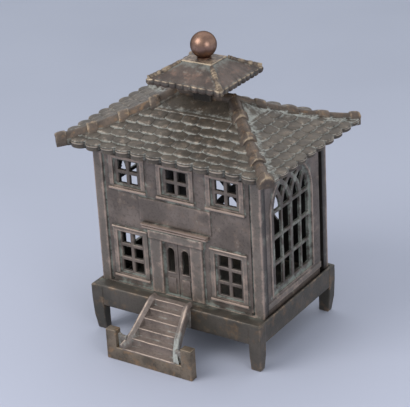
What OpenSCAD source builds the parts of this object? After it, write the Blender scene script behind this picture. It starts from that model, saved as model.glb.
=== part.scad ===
// Still bank in the shape of a two-storey villa. Four cast walls stand in a legged tray
// and are clamped under a tiled hip roof by one long rod that the ball on top screws down.
// Millimetres, +Z up. The origin is on the floor, under the middle of the whole bank.
// The front, with the door and the stairs, faces -Y.

/* [House] */
// Width of the house over the corner pilasters
house_w = 91.5; // [80:0.5:110]
// Depth of the house over the front and back faces
house_d = 61.2; // [56:0.2:80]
// Height of the walls above the rim of the tray
wall_h = 73.8; // [72:0.2:90]
// Thickness of the walls
wall_t = 3; // [2.6:0.1:4]
// Width of a corner pilaster on the front and back faces
pilaster_w = 5; // [4:0.1:7]
// Depth of the corner blocks that the side walls butt against
pilaster_d = 4.5; // [4:0.1:7]
// How far the plain wall lies behind the face of the pilasters
field_sink = 0.7; // [0.3:0.1:1]
// Loose room left at the back end of each side wall
side_slack = 1.9; // [0.2:0.1:3]
// How far the side walls lie behind the sides of the corner blocks
side_sink = 0.4; // [0.1:0.1:0.8]
// Clearance between pieces that slot together
fit_gap = 0.3; // [0.1:0.05:0.5]

/* [Tray] */
// Width of the rim beside the house
side_ledge = 1.75; // [1.2:0.05:6]
// Width of the rim in front of the house
front_ledge = 7.1; // [4:0.1:12]
// Width of the rim behind the house
back_ledge = 2.6; // [1.2:0.1:8]
// Height of the rim above the floor
rim_z = 24.7; // [20:0.1:32]
// Height of the skirt under the rim
skirt_h = 11; // [9:0.1:14]
// Thickness of the skirt
skirt_t = 2.4; // [1.8:0.1:4]
// Depth of the seat that the walls stand in, below the rim
seat_depth = 2.6; // [1.5:0.1:4]
// Thickness of the tray's floor
floor_t = 2.4; // [1.8:0.1:4]
// Width of a leg across the front, at its top
leg_w = 6.3; // [5:0.1:10]
// Width of a leg along the side, at its top
leg_d = 5; // [4:0.1:10]
// How far the outer faces of a leg draw in at the foot
leg_taper = 1.4; // [0:0.1:2.5]
// How far the legs stand proud of the skirt
leg_proud = 0.35; // [0.1:0.05:1]
// Height of the ribs that keep the walls from falling inward
kerb_h = 2.2; // [1:0.1:4]
// Thickness of those ribs
kerb_t = 1.6; // [1:0.1:3]

/* [Front windows] */
// Spacing of the three upper windows
upper_pitch = 27; // [24:0.1:34]
// Width over an upper window's casing
upper_case_w = 20.4; // [19:0.1:22]
// Pane width of the upper windows
upper_pane_w = 4.75; // [4:0.05:5.2]
// Pane height of the upper windows
upper_pane_h = 4.95; // [4:0.05:5.5]
// Height of the lowest panes of the upper windows above the rim
upper_pane_z = 53.1; // [52:0.1:54]
// Distance of the lower windows from the middle
lower_x = 27.5; // [26:0.1:34]
// Width over a lower window's casing
lower_case_w = 20; // [19:0.1:22]
// Pane width of the lower windows
lower_pane_w = 5.1; // [4:0.05:5.4]
// Pane height of the lower windows
lower_pane_h = 5.6; // [4.5:0.1:5.8]
// Height of the lowest panes of the lower windows above the rim
lower_pane_z = 6.7; // [6:0.1:8]
// Width of the glazing bars
bar_w = 1.75; // [1.2:0.05:2.2]
// Width of the casing round a window
case_w = 2.4; // [1.6:0.1:3]
// How far a casing stands out of the wall
case_out = 0.6; // [0.3:0.1:1.2]
// How far a window's sash lies behind the face of the wall
sash_sink = 0.5; // [0.2:0.1:1]
// How far sills and head mouldings stand out of the wall
sill_out = 1.3; // [0.8:0.1:2]
// Height of a sill
sill_h = 1.5; // [1:0.1:2.2]

/* [Door] */
// Distance of the door and the stairs to the right of the middle of the front
door_x = -1.1; // [-2:0.1:2]
// Clear width between the door's pilasters
door_w = 16; // [14:0.1:17]
// Width of each door pilaster
door_post_w = 6.7; // [4:0.1:7]
// How far the door pilasters stand out of the wall
door_post_out = 1.3; // [0.8:0.1:2]
// Height of the door above the rim
door_h = 28.5; // [27:0.1:29]
// Width of an arched light in the door
light_w = 3.9; // [3:0.1:4.8]
// Height of the lights' feet above the rim
light_z = 12.1; // [11:0.1:14]
// Height of a light up to the top of its arch
light_h = 12.7; // [8:0.1:14]
// Width over the slab of the door's hood
hood_w = 36.8; // [35:0.2:40]
// How far the hood's slab stands out of the wall
hood_out = 2.8; // [2:0.1:4]
// Height of the hood's slab
hood_h = 2.6; // [1.5:0.1:3]
// Height of the frieze under the slab
frieze_h = 5; // [3:0.1:5]
// Width over the frieze
frieze_w = 31; // [30:0.1:34]
// Width of the bare plaque over the door
plaque_w = 40; // [30:0.5:44]
// Height of the plaque
plaque_h = 12.2; // [8:0.1:13]
// How far the plaque stands out of the wall
plaque_out = 0.6; // [0.3:0.1:1]

/* [Side windows] */
// Pane width of the side windows
side_pane_w = 6.55; // [5:0.05:6.8]
// Width of the two narrow mullions
side_bar_w = 1.4; // [1.2:0.1:1.8]
// Width of the middle mullion
side_mullion_w = 2.3; // [2:0.1:2.6]
// Height of a row of panes, bar included
side_row_h = 13.1; // [11:0.1:13.6]
// Height of the lowest panes above the rim
side_pane_z = 9.4; // [8.5:0.1:11]
// Width of the bars between the rows of panes
tracery_w = 1.7; // [1.2:0.1:2]
// Width of the crossing arcs in the head
arc_w = 2.3; // [1.6:0.1:2.6]
// Thickness of bars and tracery
tracery_t = 1.4; // [1:0.1:1.8]
// Radius of the outer moulding of the arch
arch_r = 18.6; // [17.6:0.1:19]
// How far the window's field is sunk inside the moulding
arch_sink = 0.8; // [0.3:0.1:1]
// How far the window's panes stand towards the back from the middle of the arch
pane_shift = 1.35; // [0:0.05:1.6]
// Distance of the arch's centre line in front of the middle of the side wall
arch_shift = 1.4; // [0:0.1:3]
// How much further back the left wall's window stands than the right wall's
left_shift = 3.2; // [0:0.1:4]
// Height of the sill strip along the foot of a side wall
side_sill_h = 4.4; // [2:0.1:5]
// Height of the open joint between the side sill and the rim
side_joint_h = 2.2; // [0.6:0.1:2.6]

/* [Back wall] */
// Length of the coin slot
slot_w = 34; // [30:0.5:40]
// Height of the coin slot
slot_h = 4.6; // [4.2:0.1:6]
// Height of the coin slot's middle above the rim
slot_z = 56; // [54:0.5:60]
// Width of the lattice window's opening
lattice_w = 40; // [36:0.5:44]
// Height of the lattice window's opening
lattice_h = 19.7; // [16:0.1:23]
// Height of the lattice window's foot above the rim
lattice_z = 20.2; // [8:0.1:23]
// Width of a lattice bar
lattice_bar = 3.5; // [2.4:0.1:4]
// Distance of each crossing of the bars from the middle of the wall
lattice_x = 7.2; // [6.5:0.1:8.5]
// How far a lattice bar rises for each millimetre across
lattice_rise = 1.05; // [0.95:0.05:1.2]

/* [Stairs] */
// How far the stairs reach in front of the tray
stair_reach = 21; // [16:0.2:30]
// Number of steps below the landing
stair_steps = 5; // [4:1:7]
// Height of the landing above the rim
landing_up = 1.4; // [0.8:0.1:2.5]
// How far the landing stands out past the front of the tray
landing_out = 1.6; // [1:0.1:2.5]
// Height of the last tread at the kerb
last_tread_z = 7.3; // [5:0.1:8]
// Half the width of the treads at the landing
tread_half = 8; // [6:0.1:9]
// How much wider each side gets at the foot
stair_flare = 6.8; // [3:0.1:7.5]
// Thickness of a stringer
stringer_t = 2.9; // [2:0.1:3.4]
// Height of the stringers over the treads
stringer_up = 1.2; // [0.6:0.1:2]
// Thickness of the flight under the treads
flight_t = 2.2; // [1.6:0.1:3]
// Width of a newel block
newel_w = 5.7; // [4:0.1:7]
// Depth of the newel blocks and the kerb
newel_d = 4.2; // [3.6:0.1:6]
// Height of a newel block
newel_h = 15.7; // [12:0.1:20]
// Height of the kerb beside the newels
kerb_wall_h = 12.6; // [9:0.1:14]
// How far the kerb beside the newels stands back from their fronts
kerb_back = 2.2; // [1:0.1:2.6]
// Half the width of the kerb over the newels
kerb_half = 23.9; // [23.4:0.1:30]
// Radius of a rivet
rivet_r = 0.95; // [0.7:0.05:1.1]
// Distance of each rivet from the middle
rivet_x = 6; // [3:0.1:7]

/* [Main roof] */
// Overhang of the eaves at the sides
eave_side = 13.5; // [9:0.1:16]
// Overhang of the eaves at the front and back
eave_front = 11.2; // [9:0.1:14]
// Height of the lowest tiles' beds above the wall tops
eave_up = 1.5; // [1:0.1:4]
// Rise of the roof for each millimetre towards the ridge
roof_slope = 0.42; // [0.36:0.01:0.5]
// How far the slopes sag below a straight line
roof_sag = 2.3; // [0:0.1:3]
// Thickness of the roof casting
roof_t = 2.6; // [2:0.1:3.2]
// Number of tile rows on each slope
tile_rows = 6; // [4:1:6]
// Depth of a tile row
tile_row_d = 4.95; // [4.4:0.05:5.2]
// Height of the step at the lower edge of each row
tile_step = 0.8; // [0.4:0.1:1.2]
// Height of the tile ends at the eaves
eave_h = 3.6; // [3:0.1:5]
// Height of the thinner tile ends along the two side eaves
side_eave_h = 2.4; // [1.8:0.1:3]
// Number of tiles along the front eaves
front_tiles = 14; // [8:1:18]
// Number of tiles along the side eaves
side_tiles = 10; // [6:1:14]
// Radius of the hip tiles at their lower ends
hip_r = 3.5; // [3:0.1:4.2]
// Radius of the hip tiles at their upper ends
hip_top_r = 2.9; // [2.4:0.1:3.4]
// How far the lowest hip tiles are sunk into the roof
hip_sink = 1.4; // [0.5:0.1:2]
// Distance of the hip tiles from the corner lines, towards the middle of the front and back
hip_shift = 2.8; // [0:0.1:3]
// How far the lowest hip tiles stand out past the front and back eaves
hip_out = 0.9; // [0.2:0.1:2]
// Number of hip tiles on each hip
hip_tiles = 4; // [3:1:5]
// Width of the neck under the small roof
neck_w = 10; // [8:0.5:14]
// Depth of the neck under the small roof
neck_d = 8; // [7:0.5:12]

/* [Small roof] */
// Width over the eaves of the small roof
cup_w = 41; // [36:0.5:46]
// Depth over the eaves of the small roof
cup_d = 38.2; // [34:0.2:44]
// Height of the small roof's eaves above the ridge
cup_up = 10.2; // [9:0.1:14]
// Rise of the small roof from its eaves to its top plate
cup_rise = 6.6; // [5:0.1:9]
// Horizontal run of the small roof's slopes
cup_run = 12.4; // [10:0.1:13]
// Height of the small roof's eaves
cup_eave_h = 2.8; // [1.8:0.1:3.2]
// Thickness of the small roof's casting
cup_t = 2.2; // [1.8:0.1:2.6]
// Thickness of the plate that the ball stands on
plate_t = 0.8; // [0.5:0.1:1.5]
// Number of scallops along each eave of the small roof
cup_scallops = 9; // [6:1:12]

/* [Finial and rod] */
// Radius of the ball
ball_r = 6.2; // [5:0.1:8]
// Radius of the tie rod
rod_r = 1.6; // [1.3:0.05:2]
// Radial clearance of the rod's thread in its nut
thread_gap = 0.05; // [0.02:0.01:0.1]
// Radial clearance of the rod where it passes through the castings
pass_gap = 0.4; // [0.3:0.05:0.6]
// Depth of the rod's end in the ball
ball_socket = 6.5; // [4:0.1:8]
// Radius of the loose washer under the ball
washer_r = 3.4; // [3:0.1:4]
// Thickness of the washer
washer_t = 0.8; // [0.5:0.1:1.2]
// Side of the square nut under the tray
nut_w = 8.4; // [7:0.1:10]
// Thickness of the square nut
nut_t = 4; // [3:0.1:5]
// Depth of the pocket that keeps the nut from turning
nut_pocket = 1.6; // [1:0.1:2]
// Length of rod that stands out under the nut
rod_tail = 1.2; // [0.5:0.1:2]

/* [Hidden] */
$fn = 48;
bronze = "#6b5f52";
olive_bronze = "#6a604c";
copper = "#8a6650";
// Small overlap that lets parts of one casting join
join = 0.4;
// Extra length of a cutting shape past the surface that it cuts
past = 1;

// Plan of the whole bank: everything is placed from the middle of the house
front_y = house_d / 2;
tray_front = front_y + front_ledge;
tray_back = front_y + back_ledge;
tray_w = house_w + 2 * side_ledge;
eave_w = house_w + 2 * eave_side;
eave_d = house_d + 2 * eave_front;
house_y = (tray_front + stair_reach - eave_d / 2 - hip_out) / 2;

// Heights
floor_z = rim_z - seat_depth;
wall_top = rim_z + wall_h;
bed_z = wall_top + eave_up;
roof_run = eave_d / 2;
ridge_z = bed_z + roof_slope * roof_run;
cup_bed_z = ridge_z + cup_up;
cup_top = cup_bed_z + cup_rise;
plate_z = cup_top + plate_t;
neck_top = cup_top - cup_t;
nut_top = floor_z - floor_t - boss_t() + nut_pocket;
ball_z = plate_z + washer_t + ball_r - ball_flat();

// Boss under the tray's floor that the nut's pocket is sunk into
function boss_t() = nut_pocket + 0.6;
boss_r = nut_w * 0.5 * sqrt(2) + 2;
// Height of the flat on which the ball meets its washer
function ball_flat() = ball_r - sqrt(ball_r * ball_r - washer_r * washer_r * 0.64);

// Height of the tile beds at a distance s in from the eaves: a straight rise less a shallow sag
function bed(s) = roof_slope * s
    - 4 * roof_sag * min(s, roof_run) / roof_run * (1 - min(s, roof_run) / roof_run);
// Height of the small roof's beds
function cup_bed(s) = cup_rise * s / cup_run;
// Height of nosing k: the steps get a little steeper towards the foot
landing_z = rim_z + landing_up;
steep = 0.81;
function nosing_z(k) = landing_z
    - (landing_z - last_tread_z) * k / stair_steps * (steep + (1 - steep) * k / stair_steps);
function nosing_y(k) = -landing_out - k * (stair_reach - landing_out) / stair_steps;
// Half width of the treads at the share t of the way down: nearly straight, then a late flare
function tread_w(t) = tread_half + stair_flare * (0.36 * t + 0.64 * pow(t, 8));

module at_house() translate([0, house_y, 0]) children();

// A block given by its limits
module block(x0, x1, y0, y1, z0, z1) translate([x0, y0, z0]) cube([x1 - x0, y1 - y0, z1 - z0]);

// A block centred in plan on the house
module slab(w, d, z0, z1) translate([-w / 2, -d / 2, z0]) cube([w, d, z1 - z0]);

// Sweeps an outline in Y and Z along X
module along_x(len) rotate([90, 0, 90]) linear_extrude(len, center = true) children();

// Sweeps an outline in X and Z along Y
module along_y(len) rotate([90, 0, 0]) linear_extrude(len, center = true) children();

// Tray

module leg(sx, sy) {
    out_x = tray_w / 2 + leg_proud;
    in_x = tray_w / 2 - leg_w;
    scale_y = sy < 0 ? tray_front : tray_back;
    out_y = scale_y + leg_proud;
    in_y = scale_y - leg_d;
    top = rim_z - leg_proud;
    shoulder = rim_z - skirt_h * 0.7;
    intersection() {
        along_y(4 * tray_front) polygon([[sx * in_x, 0], [sx * (out_x - leg_taper), 0],
            [sx * (out_x - leg_taper * 0.25), shoulder * 0.45], [sx * out_x, shoulder], [sx * out_x, top],
            [sx * in_x, top]]);
        along_x(2 * tray_w) polygon([[sy * in_y, 0], [sy * (out_y - leg_taper), 0],
            [sy * (out_y - leg_taper * 0.25), shoulder * 0.45], [sy * out_y, shoulder], [sy * out_y, top],
            [sy * in_y, top]]);
    }
}

// Ribs inside the walls, cut short of the corner blocks
module ribs(gap, thick, z0, z1) {
    half_x = house_w / 2 - wall_t - gap;
    half_y = house_d / 2 - wall_t - gap;
    long_x = house_w / 2 - pilaster_w - 3;
    long_y = house_d / 2 - pilaster_d - 3;
    for (s = [-1, 1]) {
        far_y = s * half_y;
        near_y = s * (half_y - thick);
        far_x = s * half_x;
        near_x = s * (half_x - thick);
        block(-long_x, long_x, min(far_y, near_y), max(far_y, near_y), z0, z1);
        block(min(far_x, near_x), max(far_x, near_x), -long_y, long_y, z0, z1);
    }
}

module base_tray() color(bronze) at_house() {
    under = floor_z - floor_t;
    difference() {
        union() {
            difference() {
                block(-tray_w / 2, tray_w / 2, -tray_front, tray_back, rim_z - skirt_h, rim_z);
                block(-tray_w / 2 + skirt_t, tray_w / 2 - skirt_t, -tray_front + skirt_t, tray_back - skirt_t,
                    rim_z - skirt_h - past, under);
            }
            for (sx = [-1, 1], sy = [-1, 1]) leg(sx, sy);
            translate([0, 0, under - boss_t()]) cylinder(h = boss_t() + join, r = boss_r);
        }
        slab(house_w + 2 * fit_gap, house_d + 2 * fit_gap, floor_z, rim_z + past);
        translate([0, 0, under - boss_t() - past])
            cylinder(h = floor_t + boss_t() + 2 * past, r = rod_r + pass_gap);
        slab(nut_w + 2 * thread_gap, nut_w + 2 * thread_gap, under - boss_t() - past, nut_top);
        for (s = [-1, 1]) translate([door_x + s * rivet_x, -tray_front - past, rivet_z()]) rotate([-90, 0, 0])
            cylinder(h = skirt_t + 2 * past, r = rivet_r + thread_gap);
    }
    ribs(fit_gap, kerb_t, floor_z - join, floor_z + kerb_h);
}

// Stairs

flange_t = 2;
function flange_low() = rim_z - skirt_h + 1.4;
function rivet_z() = flange_low() + 2.4;
kerb_depth = newel_d;
lip = 1.6;
// Underside of the flight: a straight line one flight thickness under the inner corners of the steps
under_top = nosing_z(1) - flight_t;
under_foot = nosing_z(stair_steps - 1) - flight_t;
function under_at(y) = under_top
    + (under_foot - under_top) * (y - nosing_y(0)) / (nosing_y(stair_steps - 2) - nosing_y(0));

// Outline of the flight from the side, with a top line that lies up above the nosings
module flight_outline(up) {
    back_foot = nosing_y(stair_steps) + kerb_depth;
    steps = [for (k = [0 : stair_steps]) each (k == 0 ? [[nosing_y(0), nosing_z(0)]]
        : [[nosing_y(k - 1), nosing_z(k)], [nosing_y(k), nosing_z(k)]])];
    smooth = [for (k = [0 : stair_steps]) [nosing_y(k), nosing_z(k) + up]];
    polygon(concat([[lip, rim_z], [lip, nosing_z(0) + up]], up > 0 ? smooth : steps,
        [[nosing_y(stair_steps), 0], [back_foot, 0], [back_foot, under_at(back_foot)],
        [-flange_t, under_at(-flange_t)], [-flange_t, flange_low()], [0, flange_low()], [0, rim_z]]));
}

// Plan of one side of the flight between two offsets from the edge of the treads
module flight_plan(a, b) {
    n = 16;
    steps = [for (i = [0 : n]) i / n];
    back = [[tread_w(0) + b, lip], [tread_w(0) + a, lip]];
    polygon(concat([for (t = steps) [tread_w(t) + a, -t * stair_reach]],
        [for (i = [n : -1 : 0]) [tread_w(i / n) + b, -i / n * stair_reach]], back));
}

module front_stairs() color(olive_bronze) at_house() translate([door_x, -tray_front, 0]) difference() {
    union() {
        intersection() {
            along_x(2 * kerb_half) flight_outline(0);
            for (s = [-1, 1]) scale_side(s) linear_extrude(landing_z * 2) flight_plan(-2 * tread_half, join);
        }
        intersection() {
            along_x(2 * kerb_half) flight_outline(stringer_up);
            for (s = [-1, 1]) scale_side(s) linear_extrude(landing_z * 2) flight_plan(0, stringer_t);
        }
        for (s = [-1, 1]) {
            foot = nosing_y(stair_steps);
            inner = tread_w(1 - kerb_depth / stair_reach) + stringer_t - join;
            newel_in = kerb_half - newel_w;
            x0 = min(s * inner, s * (newel_in + join));
            x1 = max(s * inner, s * (newel_in + join));
            block(x0, x1, foot, foot + kerb_depth, 0, last_tread_z - 0.3);
            block(x0, x1, foot + kerb_back, foot + kerb_depth, 0, kerb_wall_h);
            block(min(s * newel_in, s * kerb_half), max(s * newel_in, s * kerb_half),
                foot, foot + newel_d, 0, newel_h);
        }
    }
    for (s = [-1, 1]) translate([s * rivet_x, -flange_t - past, rivet_z()]) rotate([-90, 0, 0])
        cylinder(h = flange_t + 2 * past, r = rivet_r + thread_gap);
}

// Turns a shape drawn on the right-hand side to either side
module scale_side(s) {
    if (s > 0) children();
    else mirror([1, 0, 0]) children();
}

module stair_rivets() color(copper) at_house() for (s = [-1, 1])
    translate([door_x + s * rivet_x, -tray_front - flange_t, rivet_z()]) rotate([-90, 0, 0]) {
        cylinder(h = flange_t + skirt_t, r = rivet_r);
        rivet_head(0, -1);
        rivet_head(flange_t + skirt_t, 1);
    }

// Domed head on one end of a rivet
module rivet_head(z, s) translate([0, 0, z]) intersection() {
    translate([0, 0, -s * rivet_r]) sphere(r = rivet_r * 2.1);
    translate([0, 0, s > 0 ? 0 : -rivet_r * 2]) cylinder(h = rivet_r * 2, r = rivet_r * 2);
}

// Front and back walls

// Grid of panes cut right through a wall, from the foot of the lowest pane
module panes(x, z, cols, rows, w, h, bar) {
    total = cols * w + (cols - 1) * bar;
    for (i = [0 : cols - 1], j = [0 : rows - 1])
        block(x - total / 2 + i * (w + bar), x - total / 2 + i * (w + bar) + w,
            -front_y - past, -front_y + wall_t + past, z + j * (h + bar), z + j * (h + bar) + h);
}

// Casing round a window, as a raised frame with a projecting sill and an optional head moulding
module casing(x, z, w, h, head) {
    face = -front_y + field_sink;
    wide = w / 2 + 0.4;
    block(x - w / 2, x + w / 2, face - case_out, face + join, z, z + h);
    block(x - wide, x + wide, face - sill_out, face + join, z - sill_h, z);
    if (head) block(x - wide, x + wide, face - sill_out * 0.8, face + join, z + h, z + h + sill_h * 0.8);
}

// Sunk sash inside a casing
module sash(x, z, w, h) {
    face = -front_y + field_sink;
    half = w / 2 - case_w;
    block(x - half, x + half, face - case_out - past, face + sash_sink, z + 0.6, z + h - case_w * 0.6);
}

// Middles of four columns of panes, with narrow mullions at the sides and a wide one in the middle
function columns(pane, narrow, wide) = [for (s = [-1, 1], k = [0, 1])
    s * (wide / 2 + pane / 2 + k * (pane + narrow))];

upper_sill = rim_z + upper_pane_z - 1.8;
upper_case_h = 2 * upper_pane_h + bar_w + 4.3;
lower_sill = rim_z + lower_pane_z - 1.8;
lower_case_h = 3 * lower_pane_h + 2 * bar_w + 4.3;
plaque_foot = rim_z + door_h + frieze_h + hood_h + 0.3;

// Plain wall between two corner blocks, standing in the tray
module wall_blank() {
    difference() {
        block(-house_w / 2, house_w / 2, -front_y, -front_y + wall_t, floor_z, wall_top);
        block(-house_w / 2 + pilaster_w, house_w / 2 - pilaster_w, -front_y - past, -front_y + field_sink,
            rim_z, wall_top + past);
        for (s = [-1, 1]) {
            groove = s * (house_w / 2 - pilaster_w - 0.5);
            block(groove - 0.5, groove + 0.5, -front_y, -front_y + field_sink + 0.5, rim_z, wall_top + past);
        }
    }
    for (s = [-1, 1]) {
        a = s * house_w / 2;
        b = s * (house_w / 2 - pilaster_w);
        block(min(a, b), max(a, b), -front_y + join, -front_y + pilaster_d, floor_z, wall_top);
    }
}

module door_surround() {
    face = -front_y + field_sink;
    door_top = rim_z + door_h;
    for (s = [-1, 1]) {
        a = s * door_w / 2;
        b = s * (door_w / 2 + door_post_w);
        block(min(a, b), max(a, b), face - door_post_out, face + join, rim_z, door_top + join);
    }
    block(-frieze_w / 2, frieze_w / 2, face - hood_out * 0.75, face + join, door_top, door_top + frieze_h);
    slab_z = door_top + frieze_h;
    block(-hood_w / 2, hood_w / 2, face - hood_out, face + join, slab_z, slab_z + hood_h);
    block(-plaque_w / 2, plaque_w / 2, face - plaque_out, face + join, plaque_foot, plaque_foot + plaque_h);
}

leaf_x = door_w / 4;

// Arched light of one leaf of the door
module door_light(x) {
    translate([x, -front_y - past, rim_z + light_z + light_h - light_w / 2]) rotate([-90, 0, 0])
        cylinder(h = wall_t + 2 * past, r = light_w / 2);
    block(x - light_w / 2, x + light_w / 2, -front_y - past, -front_y + wall_t + past,
        rim_z + light_z, rim_z + light_z + light_h - light_w / 2);
}

module front_wall() color(bronze) at_house() difference() {
    door_face = -front_y + field_sink + sash_sink;
    union() {
        difference() {
            union() {
                wall_blank();
                for (i = [-1 : 1]) casing(i * upper_pitch, upper_sill, upper_case_w, upper_case_h, false);
                for (s = [-1, 1]) casing(s * lower_x, lower_sill, lower_case_w, lower_case_h, true);
                translate([door_x, 0, 0]) door_surround();
            }
            for (i = [-1 : 1]) sash(i * upper_pitch, upper_sill, upper_case_w, upper_case_h);
            for (s = [-1, 1]) sash(s * lower_x, lower_sill, lower_case_w, lower_case_h);
            block(door_x - door_w / 2, door_x + door_w / 2, -front_y - past, door_face, rim_z, rim_z + door_h);
        }
        for (x = [door_x - leaf_x, door_x + leaf_x])
            block(x - light_w * 0.6, x + light_w * 0.6, door_face - 0.4, door_face + join,
                rim_z + 0.8, rim_z + light_z - 2.6);
    }
    for (i = [-1 : 1]) panes(i * upper_pitch, rim_z + upper_pane_z, 2, 2, upper_pane_w, upper_pane_h, bar_w);
    for (s = [-1, 1]) panes(s * lower_x, rim_z + lower_pane_z, 2, 3, lower_pane_w, lower_pane_h, bar_w);
    for (x = [door_x - leaf_x, door_x + leaf_x]) door_light(x);
}

back_case_w = lattice_w + 2 * case_w + 1.2;
back_case_h = lattice_h + 4.3;
back_sill = rim_z + lattice_z - 1.8;

// Outline of the lattice window's openings: a rectangle less two pairs of crossed bars
module lattice_openings() difference() {
    translate([-lattice_w / 2, 0]) square([lattice_w, lattice_h]);
    for (s = [-1, 1], t = [-1, 1]) translate([s * lattice_x, lattice_h / 2]) rotate(t * atan(lattice_rise))
        square([4 * lattice_h, lattice_bar], center = true);
}

module back_wall() color(bronze) at_house() mirror([0, 1, 0]) difference() {
    face = -front_y + field_sink;
    slot_mid = rim_z + slot_z;
    union() {
        difference() {
            union() {
                wall_blank();
                casing(0, back_sill, back_case_w, back_case_h, true);
                block(-slot_w / 2 - 2.4, slot_w / 2 + 2.4, face - case_out, face + join,
                    slot_mid - slot_h / 2 - 2.2, slot_mid + slot_h / 2 + 2.2);
            }
            sash(0, back_sill, back_case_w, back_case_h);
        }
    }
    translate([0, -front_y + wall_t + past, rim_z + lattice_z]) rotate([90, 0, 0])
        linear_extrude(wall_t + 2 * past) lattice_openings();
    block(-lattice_w / 2, lattice_w / 2, face + sash_sink + tracery_t, -front_y + wall_t + past,
        rim_z + lattice_z, rim_z + lattice_z + lattice_h);
    block(-slot_w / 2, slot_w / 2, -front_y - past, -front_y + wall_t + past,
        slot_mid - slot_h / 2, slot_mid + slot_h / 2);
}

// Side walls

side_half = side_mullion_w / 2 + side_bar_w + 2 * side_pane_w;
side_rows = 3;
spring_z = rim_z + side_pane_z + side_rows * side_row_h;
side_len = house_d - 2 * pilaster_d - side_slack;

// Ring of a given middle radius, as an outline
module ring(r, w) difference() {
    circle(r = r + w / 2);
    circle(r = r - w / 2);
}

// Feet of the arcs in the head: the two narrow mullions, and both edges of the middle one
mullion_x = side_mullion_w / 2 + side_pane_w + side_bar_w / 2;
middle_x = (side_mullion_w - tracery_w) / 2;

// Outline of the openings in the arched head: each mullion goes on as two arcs that cross the others
module head_openings() {
    difference() {
        intersection() {
            circle(r = side_half);
            translate([-side_half, tracery_w]) square([2 * side_half, side_half]);
        }
        for (s = [-1, 1]) {
            translate([s * (mullion_x - side_half), 0]) ring(side_half, arc_w);
            translate([s * (mullion_x + side_half), 0]) ring(side_half, arc_w);
            translate([s * (middle_x + side_half), 0]) ring(side_half, arc_w);
        }
        translate([-middle_x, 0]) square([2 * middle_x, 2.6 * tracery_w]);
    }
}

// Side wall drawn flat: X is along the wall from its front end, Z is up, the face looks to -Y
module side_panel(further) {
    mid = side_len / 2;
    arch_x = mid - arch_shift + further;
    pane_x = arch_x + pane_shift;
    thick = wall_t - side_sink;
    field_y = arch_sink;
    arch_z = spring_z - 1.2;
    foot_z = rim_z + side_joint_h + side_sill_h;
    difference() {
        union() {
            difference() {
                block(0, side_len, 0, thick, floor_z, wall_top);
                block(arch_x - arch_r, arch_x + arch_r, -past, field_y, foot_z, arch_z);
                translate([arch_x, -past, arch_z]) rotate([-90, 0, 0]) cylinder(h = field_y + past, r = arch_r);
                block(-past, side_len + past, -past, side_sink, floor_z - past, rim_z + side_joint_h);
            }
            block(0, side_len, -side_sink, join, rim_z + side_joint_h, foot_z - 1.2);
            translate([arch_x, join, arch_z]) rotate([90, 0, 0]) arch_bead(foot_z - arch_z);
        }
        for (x = columns(side_pane_w, side_bar_w, side_mullion_w), j = [0 : side_rows - 1])
            block(pane_x + x - side_pane_w / 2, pane_x + x + side_pane_w / 2, -past, thick + past,
                rim_z + side_pane_z + j * side_row_h, rim_z + side_pane_z + (j + 1) * side_row_h - tracery_w);
        translate([pane_x, thick + past, spring_z - tracery_w]) rotate([90, 0, 0])
            linear_extrude(thick + 2 * past) head_openings();
        block(pane_x - side_half, pane_x + side_half, field_y + tracery_t, thick + past,
            rim_z + side_pane_z, spring_z - tracery_w);
        translate([pane_x, field_y + tracery_t, spring_z - tracery_w]) rotate([-90, 0, 0]) intersection() {
            cylinder(h = thick, r = side_half);
            translate([-side_half, -side_half, 0]) cube([2 * side_half, side_half, thick]);
        }
    }
}

// Raised bead round the arch and down its sides
module arch_bead(foot) linear_extrude(join + side_sink) {
    intersection() {
        ring(arch_r + 0.6, 1.2);
        translate([-2 * arch_r, 0]) square([4 * arch_r, 2 * arch_r]);
    }
    for (s = [-1, 1]) translate([s * (arch_r + 0.6) - 0.6, foot]) square([1.2, -foot]);
}

module right_wall() color(bronze) at_house()
    translate([house_w / 2 - side_sink, -house_d / 2 + pilaster_d, 0]) rotate([0, 0, 90]) side_panel(0);

module left_wall() color(bronze) at_house() mirror([1, 0, 0])
    translate([house_w / 2 - side_sink, -house_d / 2 + pilaster_d, 0]) rotate([0, 0, 90]) side_panel(left_shift);

// Main roof

// Half of a stepped slope, from the eaves at distance half up to the middle
function slope_points(half, s, rows, depth, step, last) = concat(
    [for (k = [0 : rows - 1]) each [[s * (half - k * depth), height(k * depth) + step],
        [s * (half - (k + 1) * depth), height((k + 1) * depth)]]],
    [for (a = [1 : last]) let (d = rows * depth + (roof_run - rows * depth) * a / last)
        [s * (half - d), height(d)]]);
function height(d) = bed_z + bed(d);

// Outline of the roof across one direction, stepped on top
module roof_outline(half) {
    left = slope_points(half, -1, tile_rows, tile_row_d, tile_step, 2);
    right = slope_points(half, 1, tile_rows, tile_row_d, tile_step, 2);
    peak = half > roof_run ? [[0, height(roof_run) + (half - roof_run) * roof_slope]] : [];
    n = len(right);
    foot = bed_z + tile_step - eave_h;
    skip = half > roof_run ? 0 : 1;
    polygon(concat([[-half, foot]], left, peak, [for (i = [n - 1 - skip : -1 : 0]) right[i]], [[half, foot]]));
}

// Thickness of the eaves' lip
eave_lip = 2.6;

// Outline of the hollow under the roof, smooth and one casting thickness down
module under_outline(half) {
    first = eave_lip;
    n = 6;
    cut = [for (i = [0 : n]) first + (roof_run - first) * i / n];
    low = bed_z + tile_step - eave_h - past;
    peak = half > roof_run ? [[0, height(roof_run) - roof_t + (half - roof_run) * roof_slope]] : [];
    skip = half > roof_run ? 0 : 1;
    polygon(concat([[-(half - first), low]], [for (d = cut) [-(half - d), height(d) - roof_t]], peak,
        [for (i = [n - skip : -1 : 0]) [half - cut[i], height(cut[i]) - roof_t]], [[half - first, low]]));
}

// Height of a hip's centre line: sunk into the beds, most of all at the eaves
function hip_z(d) = height(max(d, 0)) + roof_slope * min(d, 0) + 0.3 - hip_sink * (1 - 0.4 * d / roof_run);

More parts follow.
